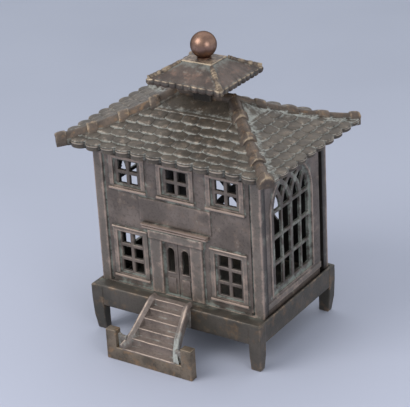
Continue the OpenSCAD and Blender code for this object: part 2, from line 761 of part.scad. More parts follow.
// One hip: tapered half-round tiles, each lapping over the next one down
module hip(sx, sy) {
    inset = -hip_out;
    run = (roof_run - inset) / hip_tiles;
    for (k = [0 : hip_tiles - 1]) {
        d0 = inset + k * run;
        d1 = inset + (k + 1) * run;
        z0 = hip_z(d0);
        z1 = hip_z(d1);
        flat = run * sqrt(2);
        len = sqrt(flat * flat + (z1 - z0) * (z1 - z0));
        translate([sx * (eave_w / 2 - hip_shift - d0), sy * (eave_d / 2 - d0), z0])
            rotate([0, 0, atan2(-sy, -sx)]) rotate([0, 90 - atan2(z1 - z0, flat), 0])
                cylinder(h = len + join, r1 = hip_r, r2 = hip_top_r);
    }
}

module main_roof() color(olive_bronze) at_house() {
    difference() {
        union() {
            intersection() {
                along_x(eave_w) roof_outline(eave_d / 2);
                along_y(eave_d) roof_outline(eave_w / 2);
            }
            intersection() {
                for (sx = [-1, 1], sy = [-1, 1]) hip(sx, sy);
                slab(eave_w, eave_d + 2 * hip_out, bed_z - 1.6, neck_top);
            }
            translate([0, 0, hip_z(roof_run)]) rotate([0, 90, 0])
                cylinder(h = eave_w - eave_d - 2 * hip_shift, r = hip_top_r - 0.2, center = true);
            slab(neck_w, neck_d, height(roof_run - neck_d / 2) - roof_t, neck_top);
        }
        difference() {
            intersection() {
                along_x(eave_w) under_outline(eave_d / 2);
                along_y(eave_d) under_outline(eave_w / 2);
            }
            difference() {
                slab(house_w, house_d, wall_top, neck_top);
                slab(house_w - 2 * seat_w, house_d - 2 * seat_w, wall_top - past, neck_top);
            }
        }
        slab(neck_w - 2 * roof_t, neck_d - 2 * roof_t, wall_top, neck_top - roof_t);
        translate([0, 0, wall_top]) cylinder(h = neck_top - wall_top + past, r = rod_r + pass_gap);
        for (s = [-1, 1]) {
            a = s * (eave_w / 2 + past);
            b = s * (eave_w / 2 - eave_lip);
            block(min(a, b), max(a, b), -eave_d / 2 + eave_lip, eave_d / 2 - eave_lip,
                bed_z - eave_h, bed_z + tile_step - side_eave_h);
        }
        eave_grooves(eave_w, eave_d, front_tiles, side_tiles, bed_z + tile_step - eave_h - past,
            bed_z + tile_step + past, 0.5);
    }
    ribs(fit_gap, kerb_t, wall_top - kerb_h, wall_top + 1);
}

// Width of the ring that rests on the wall tops
seat_w = max(pilaster_d, wall_t + fit_gap + 0.8);

// Upright grooves between the tile ends along all four eaves
module eave_grooves(w, d, n_front, n_side, z0, z1, r) {
    for (s = [-1, 1], i = [1 : n_front - 1]) translate([-w / 2 + i * w / n_front, s * d / 2, z0])
        cylinder(h = z1 - z0, r = r, $fn = 16);
    for (s = [-1, 1], i = [1 : n_side - 1]) translate([s * w / 2, -d / 2 + i * d / n_side, z0])
        cylinder(h = z1 - z0, r = r, $fn = 16);
}

// Small roof

module cup_outline(half, up) {
    top = half - cup_run;
    rows = 4;
    step = 0.3;
    d = cup_run / rows;
    left = [for (k = [0 : rows - 1]) each [[-(half - k * d), cup_bed_z + cup_bed(k * d) + step],
        [-(half - (k + 1) * d), cup_bed_z + cup_bed((k + 1) * d)]]];
    n = len(left);
    foot = cup_bed_z + step - cup_eave_h;
    polygon(concat([[-half, foot]], left, [for (i = [n - 1 : -1 : 0]) [-left[i][0], left[i][1]]], [[half, foot]]));
}

module cup_under(half) {
    first = 2;
    low = cup_bed_z - cup_eave_h - past;
    z_in = cup_bed_z + cup_bed(first) - cup_t * 0.6;
    flat = half - cup_run * 0.9;
    polygon([[-(half - first), low], [-(half - first), z_in], [-flat, neck_top - 0.8], [flat, neck_top - 0.8],
        [half - first, z_in], [half - first, low]]);
}

module cup_hip(sx, sy) {
    flat = cup_run * sqrt(2);
    len = sqrt(flat * flat + cup_rise * cup_rise);
    inset = 0.8;
    translate([sx * (cup_w / 2 - inset), sy * (cup_d / 2 - inset), cup_bed_z + 0.2])
        rotate([0, 0, atan2(-sy, -sx)]) rotate([0, 90 - atan2(cup_rise, flat), 0])
            cylinder(h = len - 1, r1 = 1.3, r2 = 1.1);
}

module cupola_roof() color(bronze) at_house() difference() {
    union() {
        intersection() {
            along_x(cup_w) cup_outline(cup_d / 2);
            along_y(cup_d) cup_outline(cup_w / 2);
        }
        intersection() {
            for (sx = [-1, 1], sy = [-1, 1]) cup_hip(sx, sy);
            slab(cup_w, cup_d, cup_bed_z - cup_eave_h + 0.3, plate_z);
        }
        slab(cup_w - 2 * cup_run + 0.6, cup_d - 2 * cup_run + 0.6, cup_top - join, plate_z);
    }
    intersection() {
        along_x(cup_w) cup_under(cup_d / 2);
        along_y(cup_d) cup_under(cup_w / 2);
    }
    slab(neck_w + 2 * fit_gap, neck_d + 2 * fit_gap, cup_bed_z - cup_eave_h - past, neck_top);
    translate([0, 0, neck_top - past]) cylinder(h = plate_z - neck_top + 2 * past, r = rod_r + pass_gap);
    eave_grooves(cup_w, cup_d, cup_scallops, cup_scallops, cup_bed_z - cup_eave_h - past, cup_bed_z + past, 0.45);
}

// Finial, rod and nut

ball_foot = plate_z + washer_t;

module finial_ball() color(copper) at_house() difference() {
    translate([0, 0, ball_z]) sphere(r = ball_r, $fn = 64);
    slab(4 * ball_r, 4 * ball_r, ball_foot - 2 * ball_r, ball_foot);
    translate([0, 0, ball_foot - past]) cylinder(h = ball_socket + past, r = rod_r + thread_gap);
}

module captive_washer() color(copper) at_house() translate([0, 0, plate_z]) difference() {
    cylinder(h = washer_t, r = washer_r);
    translate([0, 0, -past]) cylinder(h = washer_t + 2 * past, r = rod_r + thread_gap);
}

// Staked shoulder on the rod, which keeps the washer on it
stake_r = rod_r + pass_gap / 2;
stake_h = 0.9;

module tie_rod() color(olive_bronze) at_house() {
    foot = nut_top - nut_t - rod_tail;
    translate([0, 0, foot]) cylinder(h = ball_foot + ball_socket - foot, r = rod_r);
    translate([0, 0, plate_z - stake_h - 0.1]) cylinder(h = stake_h, r = stake_r);
}

module base_nut() color(olive_bronze) at_house() difference() {
    slab(nut_w, nut_w, nut_top - nut_t, nut_top);
    translate([0, 0, nut_top - nut_t - past]) cylinder(h = nut_t + 2 * past, r = rod_r + thread_gap);
}

base_tray();
front_stairs();
stair_rivets();
front_wall();
back_wall();
left_wall();
right_wall();
main_roof();
cupola_roof();
finial_ball();
captive_washer();
tie_rod();
base_nut();
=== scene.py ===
import math
import bpy
import bmesh
import numpy as np
from mathutils import Matrix, Vector


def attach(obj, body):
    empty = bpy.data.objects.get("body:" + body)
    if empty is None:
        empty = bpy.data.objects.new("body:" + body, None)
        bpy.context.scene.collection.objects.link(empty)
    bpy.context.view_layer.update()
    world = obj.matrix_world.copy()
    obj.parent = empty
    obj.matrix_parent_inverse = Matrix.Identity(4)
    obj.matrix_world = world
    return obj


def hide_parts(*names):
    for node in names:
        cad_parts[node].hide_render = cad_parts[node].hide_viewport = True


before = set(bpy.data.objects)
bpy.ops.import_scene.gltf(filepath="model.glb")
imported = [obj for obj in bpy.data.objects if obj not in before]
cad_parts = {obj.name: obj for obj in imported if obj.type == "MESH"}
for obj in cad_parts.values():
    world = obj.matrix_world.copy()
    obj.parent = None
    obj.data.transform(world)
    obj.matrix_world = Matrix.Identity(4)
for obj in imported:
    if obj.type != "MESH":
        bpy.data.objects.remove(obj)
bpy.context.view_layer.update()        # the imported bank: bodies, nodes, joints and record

mm = 0.001               # every size below is in millimetres
houseY = 8.0             # middle of the house, front to back
weld = 0.002             # points nearer than this are joined
corners = (("FrontRight", 1, -1), ("FrontLeft", -1, -1), ("BackRight", 1, 1), ("BackLeft", -1, 1))
print("stage 1: frame loaded,", len(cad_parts), "nodes")


# Mesh tools


def cells(rows, cols, wrapRows=False, wrapCols=False):
    # corner numbers of each cell of a grid: (i, j), (i, j+1), (i+1, j+1), (i+1, j)
    i = np.arange(rows if wrapRows else rows - 1)[:, None]
    j = np.arange(cols if wrapCols else cols - 1)[None, :]
    down, across = (i + 1) % rows, (j + 1) % cols
    corner = [i * cols + j, i * cols + across, down * cols + across, down * cols + j]
    return np.stack(corner, -1).reshape(-1, 4)


def piece(name, points, faces, skin, worn=None, hollow=None, soot=None, raised=None, stands=(), sharp=38):
    # points in millimetres become a closed mesh in metres, faces outward; skin is its body, slot and finish, and the
    # slot is not used;
    # worn, hollow, soot and raised are shares from 0 to 1 that the finish reads
    # the third of those shares is painted shade, mixed towards near-black by the finish
    body, slot, finish = skin
    mesh = bpy.data.meshes.new(name)
    points = np.asarray(points, float).reshape(-1, 3)
    mesh.from_pydata((points * mm).tolist(), [], [list(f) for f in faces])
    for key, share in (("worn", worn), ("hollow", hollow), ("soot", soot), ("raised", raised)):
        layer = mesh.attributes.new(key, "FLOAT", "POINT")
        share = np.zeros(len(points)) if share is None else np.broadcast_to(share, len(points))
        layer.data.foreach_set("value", np.clip(share, 0, 1).astype(np.float32))
    work = bmesh.new()
    work.from_mesh(mesh)
    bmesh.ops.remove_doubles(work, verts=work.verts, dist=weld * mm)
    bmesh.ops.dissolve_degenerate(work, edges=work.edges, dist=weld * mm * 0.5)
    bmesh.ops.delete(work, geom=[v for v in work.verts if not v.link_faces], context="VERTS")
    bmesh.ops.recalc_face_normals(work, faces=work.faces)
    work.to_mesh(mesh)
    work.free()
    mesh.polygons.foreach_set("use_smooth", np.ones(len(mesh.polygons), bool))
    mesh.set_sharp_from_angle(angle=math.radians(sharp))
    made = bpy.data.objects.new(name, mesh)
    bpy.context.scene.collection.objects.link(made)
    mesh.materials.append(finish)
    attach(made, body)
    if stands:
        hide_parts(*stands)
    return made


def tube(name, rings, skin, worn=None, hollow=None, loop=False, **more):
    # a stack of closed rings, rings[i, j] = point j of ring i, shut with a fan at each end or,
    # as a loop, joined from the last ring to the first
    rings = np.asarray(rings, float)
    n, m = rings.shape[:2]
    points = rings.reshape(-1, 3)
    faces = cells(n, m, wrapRows=loop, wrapCols=True).tolist()
    shares = [np.zeros(n * m) if s is None else np.broadcast_to(s, (n, m)).reshape(-1) for s in (worn, hollow)]
    if not loop:
        points = np.concatenate([points, rings[0].mean(0)[None], rings[-1].mean(0)[None]])
        shares = [np.concatenate([s, [s[0], s[-1]]]) for s in shares]
        j = np.arange(m)
        k = (j + 1) % m
        first = np.stack([np.full(m, n * m), k, j], -1)
        last = np.stack([np.full(m, n * m + 1), (n - 1) * m + j, (n - 1) * m + k], -1)
        faces += first.tolist() + last.tolist()
    return piece(name, points, faces, skin, *shares, **more)


def roundRect(halfX, halfY, radius, arc=4, side=2, guard=0.6):
    # outline of a rectangle with quarter-round corners, and the share of corner at each point;
    # each straight side has a point close to its ends, so that shading stays flat
    signs = [(1, 1), (-1, 1), (-1, -1), (1, -1)]
    turns = np.linspace(0, math.pi / 2, arc)
    out, edge = [], []
    for k, (sx, sy) in enumerate(signs):
        a = turns + k * math.pi / 2
        bend = np.stack([sx * (halfX - radius) + radius * np.cos(a), sy * (halfY - radius) + radius * np.sin(a)], -1)
        nx, ny = signs[(k + 1) % 4]
        start = np.array([nx * (halfX - radius) + radius * math.cos(a[-1]),
                          ny * (halfY - radius) + radius * math.sin(a[-1])])
        straight = start - bend[-1]
        g = min(guard / np.linalg.norm(straight), 0.3)
        share = np.concatenate([[g], np.linspace(g, 1 - g, side + 2)[1:-1], [1 - g]])[:, None]
        out += [bend, bend[-1] + straight * share]
        edge += [np.ones(arc), np.zeros(side + 2)]
    return np.concatenate(out), np.concatenate(edge)


def block(name, x, y, z, skin, soft=0.35, hollow=0.0, arris=0.6, **more):
    # a cast block between limits: rounded rectangles stacked in z, drawn in over quarter-rounds
    # at the foot and the top
    half = np.array([x[1] - x[0], y[1] - y[0]]) / 2
    bend = np.linspace(0, math.pi / 2, 4)
    near, far = soft * (1 - np.cos(bend)), soft * (1 - np.sin(bend))
    inset = np.concatenate([far, [0, 0, 0], near])
    level = np.concatenate([z[0] + near, z[0] + (z[1] - z[0]) * np.array([.25, .5, .75]), z[1] - far])
    edge = np.array([.2, .8, 1, .3, 0, 0, 0, .3, 1, .8, .2])
    flat, corner = roundRect(*half, soft)
    scale = 1 - inset[:, None] / half
    rings = np.zeros((len(inset), len(flat), 3))
    for axis, (low, high) in enumerate((x, y)):
        rings[..., axis] = (low + high) / 2 + flat[None, :, axis] * scale[:, axis, None]
    rings[..., 2] = level[:, None]
    worn = np.maximum(edge[:, None], corner[None, :] * arris)
    return tube(name, rings, skin, worn, hollow, **more)


def laid(flat, level, midX=0.0, midY=houseY):
    # an outline in x and y moved to a middle and laid at one level
    return np.column_stack([flat[:, 0] + midX, flat[:, 1] + midY, np.full(len(flat), level)])


def roundTurns(count):
    # equal turns once round
    return np.linspace(0, 2 * math.pi, count, endpoint=False)


def squareTo(along, count):
    # a circle of unit radius square to a direction: cosine sideways, sine upward
    side = np.cross(along, [0, 0, 1])
    side /= np.linalg.norm(side)
    up = np.cross(side, along)
    angle = roundTurns(count)
    return np.cos(angle)[:, None] * side + np.sin(angle)[:, None] * up


def span(side, near, far):
    # two limits, the lower first, mirrored where side is -1
    return sorted((side * near, side * far))


def fade(away, reach):
    # 1 at nothing, falling straight to 0 at reach
    return np.clip(1 - away / reach, 0, 1)


def bell(away, reach):
    # a bell curve: e to the power of minus the square of away over reach
    return np.exp(-(away / reach) ** 2)


def wobble(a, b, seed, size, reach):
    # smooth uneven casting: six long waves of random direction, size in mm, reach in mm
    pick = np.random.default_rng(seed)
    total, waves = np.zeros(np.broadcast(a, b).shape), 6
    for _ in range(waves):
        angle, phase, stretch = pick.uniform(0, 2 * math.pi, 2).tolist() + [pick.uniform(0.7, 1.6)]
        turn = a * math.cos(angle) + b * math.sin(angle)
        total += np.sin(turn * 2 * math.pi / (reach * stretch) + phase)
    return total * size / waves


def chance(i, j, seed):
    # a fixed random number from 0 to 1 for each pair of whole numbers
    h = np.sin(i * 127.1 + j * 311.7 + seed * 74.7) * 43758.5453
    return h - np.floor(h)


# Shader tools


class Wire:
    # one output in a shader sum; each operator adds a Math node
    def __init__(self, shader, socket):
        self.shader, self.socket = shader, socket

    def sum(self, operation, first, second=0.0, clamp=False):
        # one arithmetic operation on first and second, held between 0 and 1 where clamp is set
        node = self.shader.add("ShaderNodeMath", {"operation": operation, "use_clamp": clamp},
                               {0: first, 1: second})
        return Wire(self.shader, node.outputs[0])

    def __add__(self, other):
        return self.sum("ADD", self, other)

    def __radd__(self, other):
        return self.sum("ADD", other, self)

    def __sub__(self, other):
        return self.sum("SUBTRACT", self, other)

    def __rsub__(self, other):
        return self.sum("SUBTRACT", other, self)

    def __mul__(self, other):
        return self.sum("MULTIPLY", self, other)

    def __rmul__(self, other):
        return self.sum("MULTIPLY", other, self)

    def clip(self):
        # held between 0 and 1
        return self.sum("ADD", self, 0.0, clamp=True)

    def step(self, low, high):
        # 0 below low, 1 above high, smooth between
        node = self.shader.add("ShaderNodeMapRange", {"interpolation_type": "SMOOTHSTEP"},
                               {"Value": self, "From Min": low, "From Max": high})
        return Wire(self.shader, node.outputs["Result"])


class Shader:
    # a material under construction
    def __init__(self, name):
        self.material = bpy.data.materials.new(name)
        self.material.use_nodes = True
        self.tree = self.material.node_tree
        self.tree.nodes.clear()
        self.place = Wire(self, self.add("ShaderNodeTexCoord").outputs["Object"])

    def add(self, kind, settings=None, values=None):
        # a node with its settings, and its inputs joined to wires or set to values
        node = self.tree.nodes.new(kind)
        for key, value in (settings or {}).items():
            setattr(node, key, value)
        for key, value in (values or {}).items():
            if isinstance(value, Wire):
                self.tree.links.new(value.socket, node.inputs[key])
            else:
                node.inputs[key].default_value = value
        return node

    def noise(self, size, detail=3.0, rough=0.55, shift=(0, 0, 0)):
        # cloudy noise whose patches are about size millimetres wide
        moved = self.add("ShaderNodeMapping", None, {"Vector": self.place, "Location": shift})
        node = self.add("ShaderNodeTexNoise", None, {
            "Vector": Wire(self, moved.outputs[0]), "Scale": 1 / (size * mm), "Detail": detail, "Roughness": rough})
        return Wire(self, node.outputs[0])

    def axis(self, which):
        # one coordinate of the place: 0 x, 1 y, 2 z
        node = self.add("ShaderNodeSeparateXYZ", None, {0: self.place})
        return Wire(self, node.outputs[which])

    def share(self, name):
        # a share that the mesh carries at its points
        node = self.add("ShaderNodeAttribute", {"attribute_name": name})
        return Wire(self, node.outputs["Fac"])

    def mix(self, share, first, second):
        # first less its share, and second by its share
        node = self.add("ShaderNodeMix", {"data_type": "RGBA"}, {0: share, 6: first, 7: second})
        return Wire(self, node.outputs[2])

    def finish(self, color, roughness, metallic, height, depth, fixed):
        # the surface, its normals bent by a height of depth millimetres
        bump = self.add("ShaderNodeBump", None, {"Height": height, "Distance": depth * mm, "Strength": 1.0})
        surface = self.add("ShaderNodeBsdfPrincipled", None, {
            "Base Color": color, "Roughness": roughness, "Metallic": metallic,
            "Normal": Wire(self, bump.outputs[0]), **fixed})
        self.add("ShaderNodeOutputMaterial", None, {"Surface": Wire(self, surface.outputs[0])})
        return self.material


def tone(r, g, b):
    # a colour as the eye reads it, 0 to 255, made linear
    def linear(c):
        # a straight piece near black, then a power of 2.4
        c /= 255
        return c / 12.92 if c <= 0.04045 else ((c + 0.055) / 1.055) ** 2.4
    return (linear(r), linear(g), linear(b), 1.0)


def agedBronze(name, look):
    # brown skin in two tones, warm patches, paler proud parts, dark flecks, grime (partly painted shade) and green in
    # the hollows, rubbed metal on the edges, painted shade towards near-black last; each is mixed over the ones
    # before it by its own share
    s = Shader(name)
    shade = {key: tone(*value) for key, value in look.items() if isinstance(value, tuple)}
    worn, hollow = s.share("worn"), s.share("hollow")
    broad = s.noise(look["broad"], 3)
    patch = s.noise(look["patch"], 4, 0.6, (0.013, 0.021, 0.007))
    fleck = s.noise(look["fleck"], 4, 0.65, (0.031, 0.002, 0.017))
    grain = s.noise(0.35, 2, 0.6)
    skin = s.mix(broad.step(0.38, 0.64), shade["dark"], shade["light"])
    skin = s.mix(patch.step(0.5, 0.7) * look["warmth"], skin, shade["warm"])
    skin = s.mix(s.share("raised") * (0.9 - patch * 0.7), skin, shade["proud"])
    skin = s.mix(fleck.step(0.5, 0.7) * 0.45, skin, shade["deep"])
    # grime: dirt by the flecks, and painted shade by the hollow share in sunk parts, under the eaves and under the
    # hood
    grimeAndShade = (hollow * 0.9 + fleck * 0.5 - 0.25).clip() * look["grimeAndShade"]
    skin = s.mix(grimeAndShade, skin, shade["deep"])
    green = hollow * look["greenHollow"] + patch * look["greenPatch"] + fleck * 1.1
    green = (green - look["greenStart"]).step(0.0, 0.7) * look["green"]
    skin = s.mix(green, skin, shade["verdigris"])
    rub = (worn * 1.2 + fleck * 1.5 + patch * 2.2 - look["rubStart"]).step(0.0, 1.0) * look["rub"]
    skin = s.mix(rub, skin, shade["bright"])
    # painted shade: near-black where the mesh's shade share is set
    skin = s.mix(s.share("soot"), skin, shade["soot"])
    rough = look["rough"] + green * 0.25 - rub * 0.14 + (fleck - 0.5) * look["uneven"]
    metal = look["metal"] * (1 - green) * (0.8 + rub * 0.5)
    height = patch * 0.25 + fleck * 0.5 + grain * 0.25
    return s.finish(skin, rough.clip(), metal.clip(), height, look["bump"], look["fixed"])


# Looks: noise sizes in millimetres, tones from 0 to 255, strengths and starts of each film; every
# look names only what differs from the one that it is made from
# the near-black tone (24, 22, 20) is painted shade, used where a mesh's shade share is set
wallLook = dict(
    broad=16, patch=5.5, fleck=1.2, dark=(92, 83, 77), light=(117, 106, 99), warm=(120, 102, 90), warmth=0.6,
    deep=(62, 56, 50), grimeAndShade=0.7, proud=(117, 111, 103), soot=(24, 22, 20), verdigris=(130, 137, 128),
    greenHollow=0.8, greenPatch=1.5, greenStart=1.5, green=0.7, bright=(164, 148, 132), rubStart=2.1, rub=0.75,
    rough=0.48, uneven=0.22, metal=0.3, bump=0.2, fixed={})
roofLook = dict(
    wallLook, broad=10, patch=3.2, fleck=1.1, dark=(76, 69, 61), light=(98, 90, 80), warm=(108, 88, 71),
    deep=(50, 44, 38), verdigris=(164, 167, 161), greenHollow=1.0, greenStart=1.66, green=0.8,
    bright=(172, 160, 146))
looks = {
    "wallBronze": dict(
        wallLook, greenPatch=2.6, greenStart=2.12, verdigris=(140, 148, 140), grimeAndShade=0.85, deep=(54, 48, 43),
        bright=(172, 151, 138)),
    "roofBronze": roofLook,
    "hipBronze": dict(
        roofLook, broad=7, light=(101, 87, 76), dark=(80, 69, 61), warm=(124, 97, 72), warmth=0.9,
        verdigris=(132, 134, 126), greenStart=1.85, green=0.6, bright=(166, 148, 124), rubStart=2.2),
    "stairBronze": dict(
        wallLook, light=(138, 125, 118), dark=(114, 103, 97), warm=(142, 121, 109), warmth=0.5,
        verdigris=(164, 168, 163), green=0.9, bright=(188, 168, 152), rubStart=2.15),
    "smallRoofBronze": dict(
        wallLook, broad=9, patch=4, dark=(78, 67, 62), light=(98, 84, 77), warm=(126, 98, 84), warmth=0.8,
        verdigris=(130, 134, 128), bright=(176, 160, 136), rubStart=2.2, rub=0.85),
    "kerbBronze": dict(
        wallLook, broad=9, patch=4, dark=(86, 77, 66), light=(118, 105, 90), warm=(136, 108, 80), warmth=0.9,
        deep=(50, 42, 32), verdigris=(118, 122, 112), bright=(176, 158, 134), rubStart=2.25),
    "trayBronze": dict(
        wallLook, dark=(66, 63, 57), light=(86, 80, 73), warm=(108, 87, 66), warmth=0.8, greenStart=1.6,
        verdigris=(100, 108, 102), bright=(148, 130, 112), rubStart=2.3),
    "ballCopper": dict(
        wallLook, broad=9, dark=(138, 111, 98), light=(170, 139, 122), warm=(176, 139, 116), deep=(92, 72, 62),
        grimeAndShade=0.1, greenStart=3.4, rub=0.2, rough=0.33, uneven=0.05, metal=1.25, bump=0.006,
        fixed={"Specular Tint": (0.3, 0.34, 0.36, 1)}),
    "rodSteel": dict(
        wallLook, dark=(96, 94, 92), light=(124, 122, 118), warm=(120, 104, 92), greenStart=2.8, rough=0.38,
        metal=0.85, bump=0.03),
    "nutBrass": dict(
        wallLook, dark=(124, 104, 66), light=(158, 134, 88), warm=(150, 120, 74), greenStart=2.2, rough=0.38,
        metal=0.85, bump=0.04),
}
finishes = {name: agedBronze(name, look) for name, look in looks.items()}
skins = {name: (body, slot, finishes[finish]) for name, body, slot, finish in (
    ("wall", "stand", "aged_bronze", "wallBronze"), ("tray", "stand", "aged_bronze", "trayBronze"),
    ("stair", "stand", "stair_bronze", "stairBronze"), ("kerb", "stand", "stair_bronze", "kerbBronze"),
    ("rivet", "stand", "rivet_copper", "ballCopper"), ("nut", "stand", "nut_brass", "nutBrass"),
    ("roof", "roof", "roof_bronze", "roofBronze"), ("hip", "roof", "roof_bronze", "hipBronze"),
    ("smallRoof", "roof", "aged_bronze", "smallRoofBronze"), ("smallHip", "roof", "aged_bronze", "hipBronze"),
    ("ball", "finial", "rubbed_bronze", "ballCopper"), ("washer", "washer", "rubbed_bronze", "ballCopper"),
    ("rod", "finial", "rod_steel", "rodSteel"))}
print("stage 2: finishes made,", len(finishes))


# Walls: a relief on a grid whose lines follow the edges of the features


class Outline:
    # a flat shape: inside(x, z) is the distance in from its edge, xs and zs are its edge lines
    def __init__(self, inside, xs=(), zs=()):
        self.inside, self.xs, self.zs = inside, xs, zs


def box(x0, x1, z0, z1):
    # the nearest of the four sides
    def inside(x, z):
        return np.minimum(np.minimum(x - x0, x1 - x), np.minimum(z - z0, z1 - z))
    return Outline(inside, (x0, x1), (z0, z1))


def arch(middle, half, foot, spring):
    # a box with a half-round head
    def inside(x, z):
        # over the spring line the circle's distance, under it the shaft's
        shaft = np.minimum(half - np.abs(x - middle), z - foot)
        head = half - np.hypot(x - middle, z - spring)
        return np.where(z > spring, head, shaft)
    return Outline(inside, (middle - half, middle + half), (foot, spring, spring + half))


def common(*parts):
    # what lies in all parts: the least of their distances
    return Outline(lambda x, z: np.minimum.reduce([p.inside(x, z) for p in parts]))


def without(whole, *parts):
    # the whole less the parts: the least of its distance and the parts' reversed distances
    return Outline(lambda x, z: np.minimum.reduce([whole.inside(x, z)] + [-p.inside(x, z) for p in parts]))


def hoop(middle, level, radius, width):
    # a band of a width along a circle
    return Outline(lambda x, z: width / 2 - np.abs(np.hypot(x - middle, z - level) - radius))


def nowhere(x, z):
    # no share at all
    return 0.0


# clear is the least gap between grid lines, beside the gap from an opening's edge to its next
# lines; arris and end are the width and depth of the rounding at openings and at the wall's ends;
# passes, probe and most belong to moving points onto an opening's outline; near and far are blurs
casting = {"clear": 0.1, "beside": 0.3, "arris": (0.3, 0.28), "end": (0.45, 0.3), "passes": 3, "probe": 0.01,
           "most": 0.3, "near": 0.8, "far": 5}


def gridLines(hard, softEdges, low, high, spacing):
    # the opening edges first, then the other edges where they keep clear, then even fill
    kept = []
    for value in sorted({round(v, 4) for v in [low, high, *hard]}) + sorted(softEdges):
        if low <= value <= high and all(abs(value - k) > casting["clear"] for k in kept):
            kept.append(value)
    kept.sort()
    filled = []
    for a, b in zip(kept[:-1], kept[1:]):
        count = max(1, math.ceil((b - a) / spacing))
        filled += [a + (b - a) * i / count for i in range(count)]
    return np.array(filled + [kept[-1]])


def castWall(name, plan, place, stands, seed):
    # outer face: level of the field, pulled to each feature's level over a quarter-round;
    # inner face: plan["back"](x, z); openings are cut out and their edges moved onto the outline
    features, openings = plan["features"], plan["openings"]
    grid = []
    for axis, edges in (("x", lambda shape: shape.xs), ("z", lambda shape: shape.zs)):
        hard = [e for o in openings for e in edges(o)]
        soft = [e + k * r for shape, _, r in features for e in edges(shape) for k in (0, 1, -1, 0.4, -0.4)]
        soft += [e + k * casting["beside"] for e in hard for k in (1, -1)]
        grid.append(gridLines(hard, soft, *plan[axis], plan["spacing"]))
    xs, zs = grid
    x, z = np.meshgrid(xs, zs)

    def hole(x, z):
        # distance in from the edge of the nearest opening, negative on the casting
        return np.maximum.reduce([o.inside(x, z) for o in openings])

    midX, midZ = (x[1:, 1:] + x[:-1, :-1]) / 2, (z[1:, 1:] + z[:-1, :-1]) / 2
    keep = hole(midX, midZ) < 0
    around = np.pad(keep, 1, constant_values=True)
    touching = np.stack([around[:-1, :-1], around[1:, :-1], around[:-1, 1:], around[1:, 1:]])
    rim = touching.any(0) & ~touching.all(0)
    for _ in range(casting["passes"]):
        # the slope of the distance, measured over d both ways, gives the way to the outline
        gap, d, most = hole(x, z), casting["probe"], casting["most"]
        gx = (hole(x + d, z) - hole(x - d, z)) / (2 * d)
        gz = (hole(x, z + d) - hole(x, z - d)) / (2 * d)
        size = np.maximum(gx * gx + gz * gz, 0.25)
        move = np.where(rim & (np.abs(gap) > 1e-4), gap, 0) / size
        move = np.clip(move, -most, most)
        x, z = x - move * gx, z - move * gz
    height = np.zeros_like(x)
    for shape, level, round_ in features:
        t = np.clip(shape.inside(x, z) / round_, 0, 1)
        height = height + (level - height) * np.sqrt(t * (2 - t))
    arris = fade(-hole(x, z), casting["arris"][0])
    end = fade(np.minimum(x - plan["x"][0], plan["x"][1] - x), casting["end"][0])
    uneven = wobble(x, z, seed, 0.10, 18) + wobble(x, z, seed + 1, 0.05, 5)
    face = height - casting["arris"][1] * arris ** 2 + uneven
    face = face - casting["end"][1] * end ** 2

    def smear(lines, reach):
        # weights of a bell-shaped blur along uneven lines
        width = np.gradient(lines)
        w = np.exp(-0.5 * ((lines[:, None] - lines[None, :]) / reach) ** 2) * width[None, :]
        return w / w.sum(1, keepdims=True)

    mean, wide = (smear(zs, reach) @ height @ smear(xs, reach).T for reach in (casting["near"], casting["far"]))
    worn = np.clip((height - mean) * 1.5, 0, 0.6) + np.clip((height - wide) * 0.4, 0, 0.35)
    worn = worn + arris * 0.15 + end * 0.85
    # the plan adds its rub and painted highlight to the worn share
    worn = worn + plan["rubAndHighlight"](x, z)
    # hollow: sunk parts, plus the plan's damp and painted shade
    hollow = np.clip((mean - height) * 2.6, 0, 1) + plan["dampAndShade"](x, z)
    front = place(x, face, z)
    back = place(x, plan["back"](x, z), z)
    reveal = front + (back - front) * plan["bright"]
    n = x.size
    rows, cols = x.shape
    quads = cells(rows, cols)[keep.ravel()]
    padded = np.pad(keep, 1)
    borders = []
    for differs, step in ((padded[1:, 1:-1] != padded[:-1, 1:-1], 1), (padded[1:-1, 1:] != padded[1:-1, :-1], cols)):
        i, j = np.nonzero(differs)
        a = i * cols + j
        borders += [np.stack([a, a + step, a + step + n, a + n], -1) + k * n for k in (0, 1)]
    faces = np.concatenate([quads, quads[:, ::-1] + 2 * n, *borders])
    used, faces = np.unique(faces, return_inverse=True)
    points = np.concatenate([front.reshape(-1, 3), reveal.reshape(-1, 3), back.reshape(-1, 3)])[used]
    flat = np.clip((height - plan["proud"]) * 4, 0, 1) * 0.75 * (1 - plan["even"](x, z))

    def layers(outer, middle, inner):
        # one share for the outer face, the middle of the reveals and the inner face
        return np.concatenate([np.broadcast_to(v, x.shape).ravel() for v in (outer, middle, inner)])[used]

    # painted shade: a little on the reveals of the front and back walls, almost black on all inner faces
    sooty = 0.35 * (plan["reveal"] < 0.6)
    made = piece(name, points, faces.reshape(-1, 4), skins["wall"], layers(worn, 0, 0),
                 layers(hollow, plan["reveal"], 0.3), layers(0, sooty, 0.92), layers(flat, 0, 0), stands)
    print("  ", name, len(made.data.polygons), "faces")
    return made


